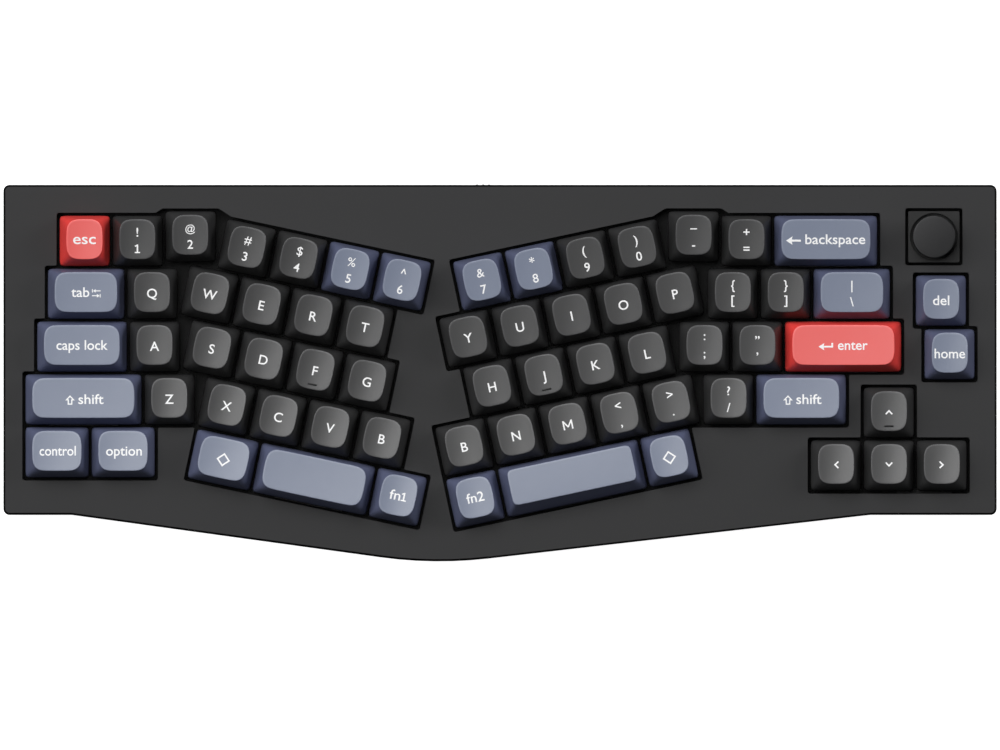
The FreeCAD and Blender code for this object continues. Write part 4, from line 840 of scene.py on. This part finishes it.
STEM_WIDTH = 5.6 * MM
STEM_REACH = 5.5 * MM
STEM_SUNK = 2.2 * MM
STEM_EDGE = 0.3 * MM
STABILISED = 2
STABILISER_SIDE = 11.94 * MM
STABILISER_WIDTH = 3.8 * MM
BAR_WIDTH, BAR_DEPTH, BAR_HEIGHT = 3.4 * MM, 0.6 * MM, 1.0 * MM
BAR_Y = -4.8 * MM
BAR_SUNK = 0.1 * MM
BAR_EDGE = 0.2 * MM
for body, names in BODY_KEYS.items():
    parts, bars = [], []
    for name in names:
        key = KEYS[name]
        cap = cap_mesh(key)
        parts.append((cap, key_matrix(key)))
        roof = CAP_HEIGHT[key.row] - STEM_SUNK
        sites = [(0.0, STEM_WIDTH)]
        if key.width >= STABILISED:
            sites += [(-STABILISER_SIDE, STABILISER_WIDTH), (STABILISER_SIDE, STABILISER_WIDTH)]
        for across, width in sites:
            post = bar_mesh(width, width, roof + STEM_REACH, Vector((across, 0, (roof - STEM_REACH) / 2)),
                            STEM_EDGE, FINISH[cap_slot(name)])
            parts.append((post, key_matrix(key)))
        if name in HOMING:
            bar_z = surface_height(surface_of(cap), 0, BAR_Y) - BAR_SUNK
            # The bar is drawn in black plastic as painted shade for its shaded front face.
            bar = bar_mesh(BAR_WIDTH, BAR_DEPTH, BAR_HEIGHT, Vector((0, BAR_Y, bar_z)), BAR_EDGE,
                           FINISH["black_plastic"])
            bars.append((bar, key_matrix(key)))
    slot = cap_slot(names[0])
    place_piece("caps_" + body, joined_mesh("caps_" + body, parts, FINISH[slot]), body, slot, body)
    if bars:
        place_piece("bars_" + body, joined_mesh("bars_" + body, bars, FINISH["black_plastic"]), body, None)
worst = 0.0
for body in BODY_KEYS:
    low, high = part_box(body)
    points = [vertex.co for vertex in bpy.data.objects["caps_" + body].data.vertices]
    for axis in range(3):
        reaches = [point[axis] for point in points]
        worst = max(worst, abs(min(reaches) - low[axis]), abs(max(reaches) - high[axis]))
print("caps leave the box of their node by at most %.2f mm" % (worst / MM))

# %% [markdown]
# The legends are printed marks that stand a hair proud of the dish. Letters, digits and the words of the
# function keys are set as text. The arrows, the diamond, the digit 1 and the letter M are outlines drawn
# point by point. Both become thin closed pieces first, and each of their points is then dropped on the cap
# below it.

# %% Legend outlines
LEGEND_SIZE = 4.8
LEGEND_HALF = 0.05
LEGEND_WELD = 0.001
PROUD = 0.035 * MM


def flat_mesh(curve):
    """Thin closed mesh from a text or an outline in millimetres that is filled."""
    holder = add_object("legend", curve)
    depsgraph = bpy.context.evaluated_depsgraph_get()
    mesh = bpy.data.meshes.new_from_object(holder.evaluated_get(depsgraph))
    bpy.data.objects.remove(holder)
    form = bmesh.new()
    form.from_mesh(mesh)
    bmesh.ops.remove_doubles(form, verts=form.verts, dist=LEGEND_WELD)
    bmesh.ops.recalc_face_normals(form, faces=form.faces)
    form.to_mesh(mesh)
    form.free()
    mesh.transform(Matrix.Scale(MM, 4))
    return mesh


def word_mesh(text, size, width=None, swell=0.05):
    """Text centred on its own middle; a width in millimetres stretches or narrows it a little."""
    curve = bpy.data.curves.new("legend", "FONT")
    curve.body = text
    curve.size = size
    curve.extrude = LEGEND_HALF
    curve.offset = swell
    curve.resolution_u = 4
    mesh = flat_mesh(curve)
    low = min(vertex.co.x for vertex in mesh.vertices)
    high = max(vertex.co.x for vertex in mesh.vertices)
    stretch = width * MM / (high - low) if width else 1.0
    mesh.transform(Matrix.Diagonal((stretch, 1, 1, 1)) @ Matrix.Translation((-(low + high) / 2, 0, 0)))
    return mesh


def outline_mesh(*loops):
    """Filled outline from loops of points in millimetres; a loop inside another is a hole."""
    curve = bpy.data.curves.new("legend", "CURVE")
    curve.dimensions = "2D"
    curve.fill_mode = "BOTH"
    curve.extrude = LEGEND_HALF
    for loop in loops:
        spline = curve.splines.new("POLY")
        spline.points.add(len(loop) - 1)
        for point, (x, y) in zip(spline.points, loop):
            point.co = (x, y, 0, 1)
        spline.use_cyclic_u = True
    return flat_mesh(curve)


def chevron(turn):
    """Open arrowhead that points up, turned by an angle."""
    points = [(-1.35, -0.62), (0, 0.78), (1.35, -0.62), (0.98, -1.0), (0, 0.02), (-0.98, -1.0)]
    mesh = outline_mesh(points)
    mesh.transform(Matrix.Rotation(math.radians(turn), 4, "Z"))
    return mesh


def left_arrow(length, head=2.3, half=1.55, shaft=0.36, rise=0.0):
    """Filled arrow to the left; a rise turns its tail up."""
    tail = [(length, -shaft), (length, rise or shaft)]
    if rise:
        tail += [(length - 2 * shaft, rise), (length - 2 * shaft, shaft)]
    barb = head * 0.88
    return outline_mesh([(0, 0), (head, -half), (barb, -shaft)] + tail + [(barb, shaft), (head, half)])


def shift_arrow():
    """Hollow arrow that points up."""
    outer = [(0, 1.9), (-1.75, 0.05), (-0.85, 0.05), (-0.85, -1.5), (0.85, -1.5), (0.85, 0.05),
             (1.75, 0.05)]
    inner = [(0, 1.25), (-0.85, 0.45), (-0.42, 0.45), (-0.42, -1.08), (0.42, -1.08), (0.42, 0.45),
             (0.85, 0.45)]
    return outline_mesh(outer, inner)


def tab_arrow():
    """Arrow to the left against a bar."""
    arrow = [(0.34, 0), (1.35, -0.62), (1.35, -0.17), (3.1, -0.17), (3.1, 0.17), (1.35, 0.17), (1.35, 0.62)]
    return outline_mesh(arrow, [(0, -0.62), (0.3, -0.62), (0.3, 0.62), (0, 0.62)])


def diamond():
    """Plain hollow diamond."""
    outer = [(0, 2.5), (-2.5, 0), (0, -2.5), (2.5, 0)]
    inner = [(0, 1.7), (-1.7, 0), (0, -1.7), (1.7, 0)]
    return outline_mesh(outer, inner)


def figure_one():
    """The digit 1 with its flag and foot, which the text font lacks."""
    return outline_mesh([(-0.95, 0), (0.98, 0), (0.98, 0.44), (0.3, 0.44), (0.3, 3.1), (-0.1, 3.1),
                         (-0.98, 2.6), (-0.75, 2.22), (-0.24, 2.48), (-0.24, 0.44), (-0.95, 0.44)])


def letter_m():
    """The letter M with upright legs."""
    return outline_mesh([(-1.78, 0), (-1.26, 0), (-1.26, 2.35), (-0.22, 0.8), (0.22, 0.8), (1.26, 2.35),
                         (1.26, 0), (1.78, 0), (1.78, 3.35), (1.3, 3.35), (0, 1.4), (-1.3, 3.35),
                         (-1.78, 3.35)])


# %% [markdown]
# Where each mark sits is given from the middle of the key's top: one mark a little in front of it, and on
# keys with two marks the shifted one behind and the plain one in front. Signs that sit too high or too low
# in the text font are moved along the key, and some words stand a little lower than the others.

# %% Legends
MARK_Y = 0.1
PAIRS = {"1": "!", "2": "@", "3": "#", "4": "$", "5": "%", "6": "^", "7": "&", "8": "*", "9": "(", "0": ")",
         "minus": "–", "equals": "+", "left_bracket": "{", "right_bracket": "}", "backslash": "|",
         "semicolon": ":", "quote": "”", "comma": "<", "period": ">", "slash": "?"}
PLAIN = {"minus": "-", "equals": "=", "left_bracket": "[", "right_bracket": "]", "backslash": "\\",
         "semicolon": ";", "quote": "’", "comma": ",", "period": ".", "slash": "/", "second_b": "B"}
WORDS = {"esc": ("esc", 0, 8.2), "caps_lock": ("caps lock", 0.1, 18.5), "control": ("control", 0.3, 13.1),
         "option": ("option", 0.35, 12.9), "fn1": ("fn", -1.1, 4.0), "fn2": ("fn2", 0, 6.4),
         "delete": ("del", 0, 5.9), "home": ("home", 0, 11.0), "tab": ("tab", -2.0, 6.5),
         "backspace": ("backspace", 3.4, 21.6), "enter": ("enter", 3.4, 10.7),
         "left_shift": ("shift", 2.75, 9.1), "right_shift": ("shift", 2.75, 9.1)}
WORD_DROP = 1.2
CAP_HALF = 1.6
PAIR_RISE = 0.2
PAIR_APART = 3.0
PAIR_SIZE = 4.5
NUDGE = {"[": 0.7, "]": 0.7, ":": 0.8, ";": 0.45, "”": -0.9, "’": -0.8}
LOWER_WORDS = {"delete": 0.5, "home": 0.3, "left_shift": 0.45, "right_shift": 0.45}
WORD_SIZE = 5.0
LARGER_WORDS = {"esc": 5.5}
SMALL_AT = 0.82
CROWDED, THIN_SWELL = "@4$%&#8", 0.02
CHEVRON_BACK = 0.2
FN_FIGURE_AT = (2.15, -WORD_DROP)
SHIFT_ARROW_AT = (-4.8, -0.45)
TAB_LEFT_AT, TAB_RIGHT_AT = (2.2, 0.95), (5.3, -0.8)
BACKSPACE_ARROW_AT = (-14.3, 0)
ENTER_ARROW_AT = (-8.95, -0.1)


def symbol_mesh(text):
    """Digit or sign of a key with two marks; crowded signs get a thinner line."""
    if text == "1":
        return figure_one()
    size = SMALL_AT * PAIR_SIZE if text == "@" else PAIR_SIZE
    if text in CROWDED:
        return word_mesh(text, size, swell=THIN_SWELL)
    return word_mesh(text, size)


def beside(mesh, place):
    """Mark that goes with a word, and where it sits on the key in millimetres."""
    return mesh, place[0], MARK_Y + place[1]


def marks_of(name):
    """Marks of one key: each a mesh and its place in millimetres."""
    marks = []
    if name in PAIRS:
        for text, along in ((PAIRS[name], PAIR_APART), (PLAIN.get(name, name), -PAIR_APART)):
            marks.append((symbol_mesh(text), 0, along + PAIR_RISE - CAP_HALF + NUDGE.get(text, 0)))
    elif name in WORDS:
        text, across, width = WORDS[name]
        along = MARK_Y - WORD_DROP - LOWER_WORDS.get(name, 0)
        size = LARGER_WORDS.get(name, WORD_SIZE)
        marks.append((word_mesh(text, size, width), across, along))
    elif name in ("left_command", "right_command"):
        marks.append((diamond(), 0, MARK_Y))
    elif name in ("up", "left", "down", "right"):
        turn = {"up": 0, "left": 90, "down": 180, "right": 270}[name]
        marks.append((chevron(turn), 0, MARK_Y + CHEVRON_BACK))
    elif name == "m":
        marks.append((letter_m(), 0, MARK_Y - CAP_HALF))
    elif not name.endswith("space"):
        marks.append((word_mesh(PLAIN.get(name, name.upper()), LEGEND_SIZE), 0, MARK_Y - CAP_HALF))
    if name == "fn1":
        marks.append(beside(figure_one(), FN_FIGURE_AT))
    if name.endswith("_shift"):
        marks.append(beside(shift_arrow(), SHIFT_ARROW_AT))
    if name == "tab":
        turned = tab_arrow()
        turned.transform(Matrix.Rotation(math.pi, 4, "Z"))
        marks.append(beside(tab_arrow(), TAB_LEFT_AT))
        marks.append(beside(turned, TAB_RIGHT_AT))
    if name == "backspace":
        marks.append(beside(left_arrow(5.3), BACKSPACE_ARROW_AT))
    if name == "enter":
        bent_arrow = left_arrow(5.25, head=2.1, half=1.3, shaft=0.3, rise=1.35)
        marks.append(beside(bent_arrow, ENTER_ARROW_AT))
    return marks


def laid_on(mesh, cap, across, along):
    """Mark dropped on the top of a cap."""
    surface = surface_of(cap)
    for vertex in mesh.vertices:
        x, y = vertex.co.x + across, vertex.co.y + along
        height = surface_height(surface, x, y)
        above = PROUD if vertex.co.z > 0 else PROUD - 2 * LEGEND_HALF * MM
        vertex.co = (x, y, height + above)
    return mesh


for body, names in BODY_KEYS.items():
    parts = []
    for name in names:
        key = KEYS[name]
        for mesh, across, along in marks_of(name):
            laid_on(mesh, cap_mesh(key), across * MM, along * MM)
            parts.append((mesh, key_matrix(key)))
    if parts:
        place_piece("legends_" + body, joined_mesh("legends_" + body, parts, FINISH["legend"]), body, None)

# %% [markdown]
# The volume knob is turned from a bar. Its top is slightly domed, its upper edge is rounded, and its flank
# is knurled, which a picture from above doesn't show. Half its section is given as points, and each point
# becomes a ring: first the bore, then the foot, the flank, the rounded edge and the top.

# %% Knob
KNOB_HEIGHT, KNOB_RISE = 11.0 * MM, 8.6 * MM
FLANK, KNURL_FOOT, KNURL_TOP = 7.6, 1.2, 9.2
KNOB_SECTION = [(0.0, 8.0), (3.05, 8.0), (3.05, 0.0), (7.3, 0.0), (FLANK, 0.3), (FLANK, 0.9),
                (FLANK, KNURL_FOOT), (FLANK, KNURL_TOP), (FLANK, 9.5), (FLANK, 10.62), (7.58, 10.71),
                (7.52, 10.78), (7.43, 10.82), (7.3, 10.83), (6.2, 10.88), (5.0, 10.92), (3.6, 10.96),
                (2.2, 10.985), (1.0, 10.997), (0.0, 11.0)]
KNURLS, KNURL_DEPTH, AROUND = 60, 0.18 * MM, 360
SHARP_ANGLE = math.radians(40)


def knob_mesh():
    """Knob with its foot on z = 0."""
    form = bmesh.new()
    rings = []
    for radius, height in KNOB_SECTION:
        if radius == 0:
            rings.append([form.verts.new((0, 0, height * MM))])
            continue
        knurled = radius == FLANK and KNURL_FOOT <= height <= KNURL_TOP
        ring = []
        for step in range(AROUND):
            angle = 2 * math.pi * step / AROUND
            cut = KNURL_DEPTH * (0.5 - 0.5 * math.cos(KNURLS * angle)) if knurled else 0.0
            reach = radius * MM - cut
            ring.append(form.verts.new((reach * math.cos(angle), reach * math.sin(angle), height * MM)))
        rings.append(ring)
    for low, high in zip(rings, rings[1:]):
        for step in range(AROUND):
            after = (step + 1) % AROUND
            corners = [low[step % len(low)], low[after % len(low)]]
            corners += [high[after % len(high)], high[step % len(high)]]
            form.faces.new(list(dict.fromkeys(corners)))
    bmesh.ops.recalc_face_normals(form, faces=form.faces)
    mesh = bpy.data.meshes.new("knob")
    form.to_mesh(mesh)
    form.free()
    mesh.polygons.foreach_set("use_smooth", [True] * len(mesh.polygons))
    mesh.materials.append(FINISH["knob_metal"])
    return mesh


knob = knob_mesh()
knob.transform(PLANE @ Matrix.Translation((KNOB_AT[0], KNOB_AT[1], KNOB_RISE - KNOB_HEIGHT)))
knob.set_sharp_from_angle(angle=SHARP_ANGLE)
place_piece("knob", knob, "volume_knob", "knob_metal", "volume_knob")
print("knob faces:", len(knob.polygons))
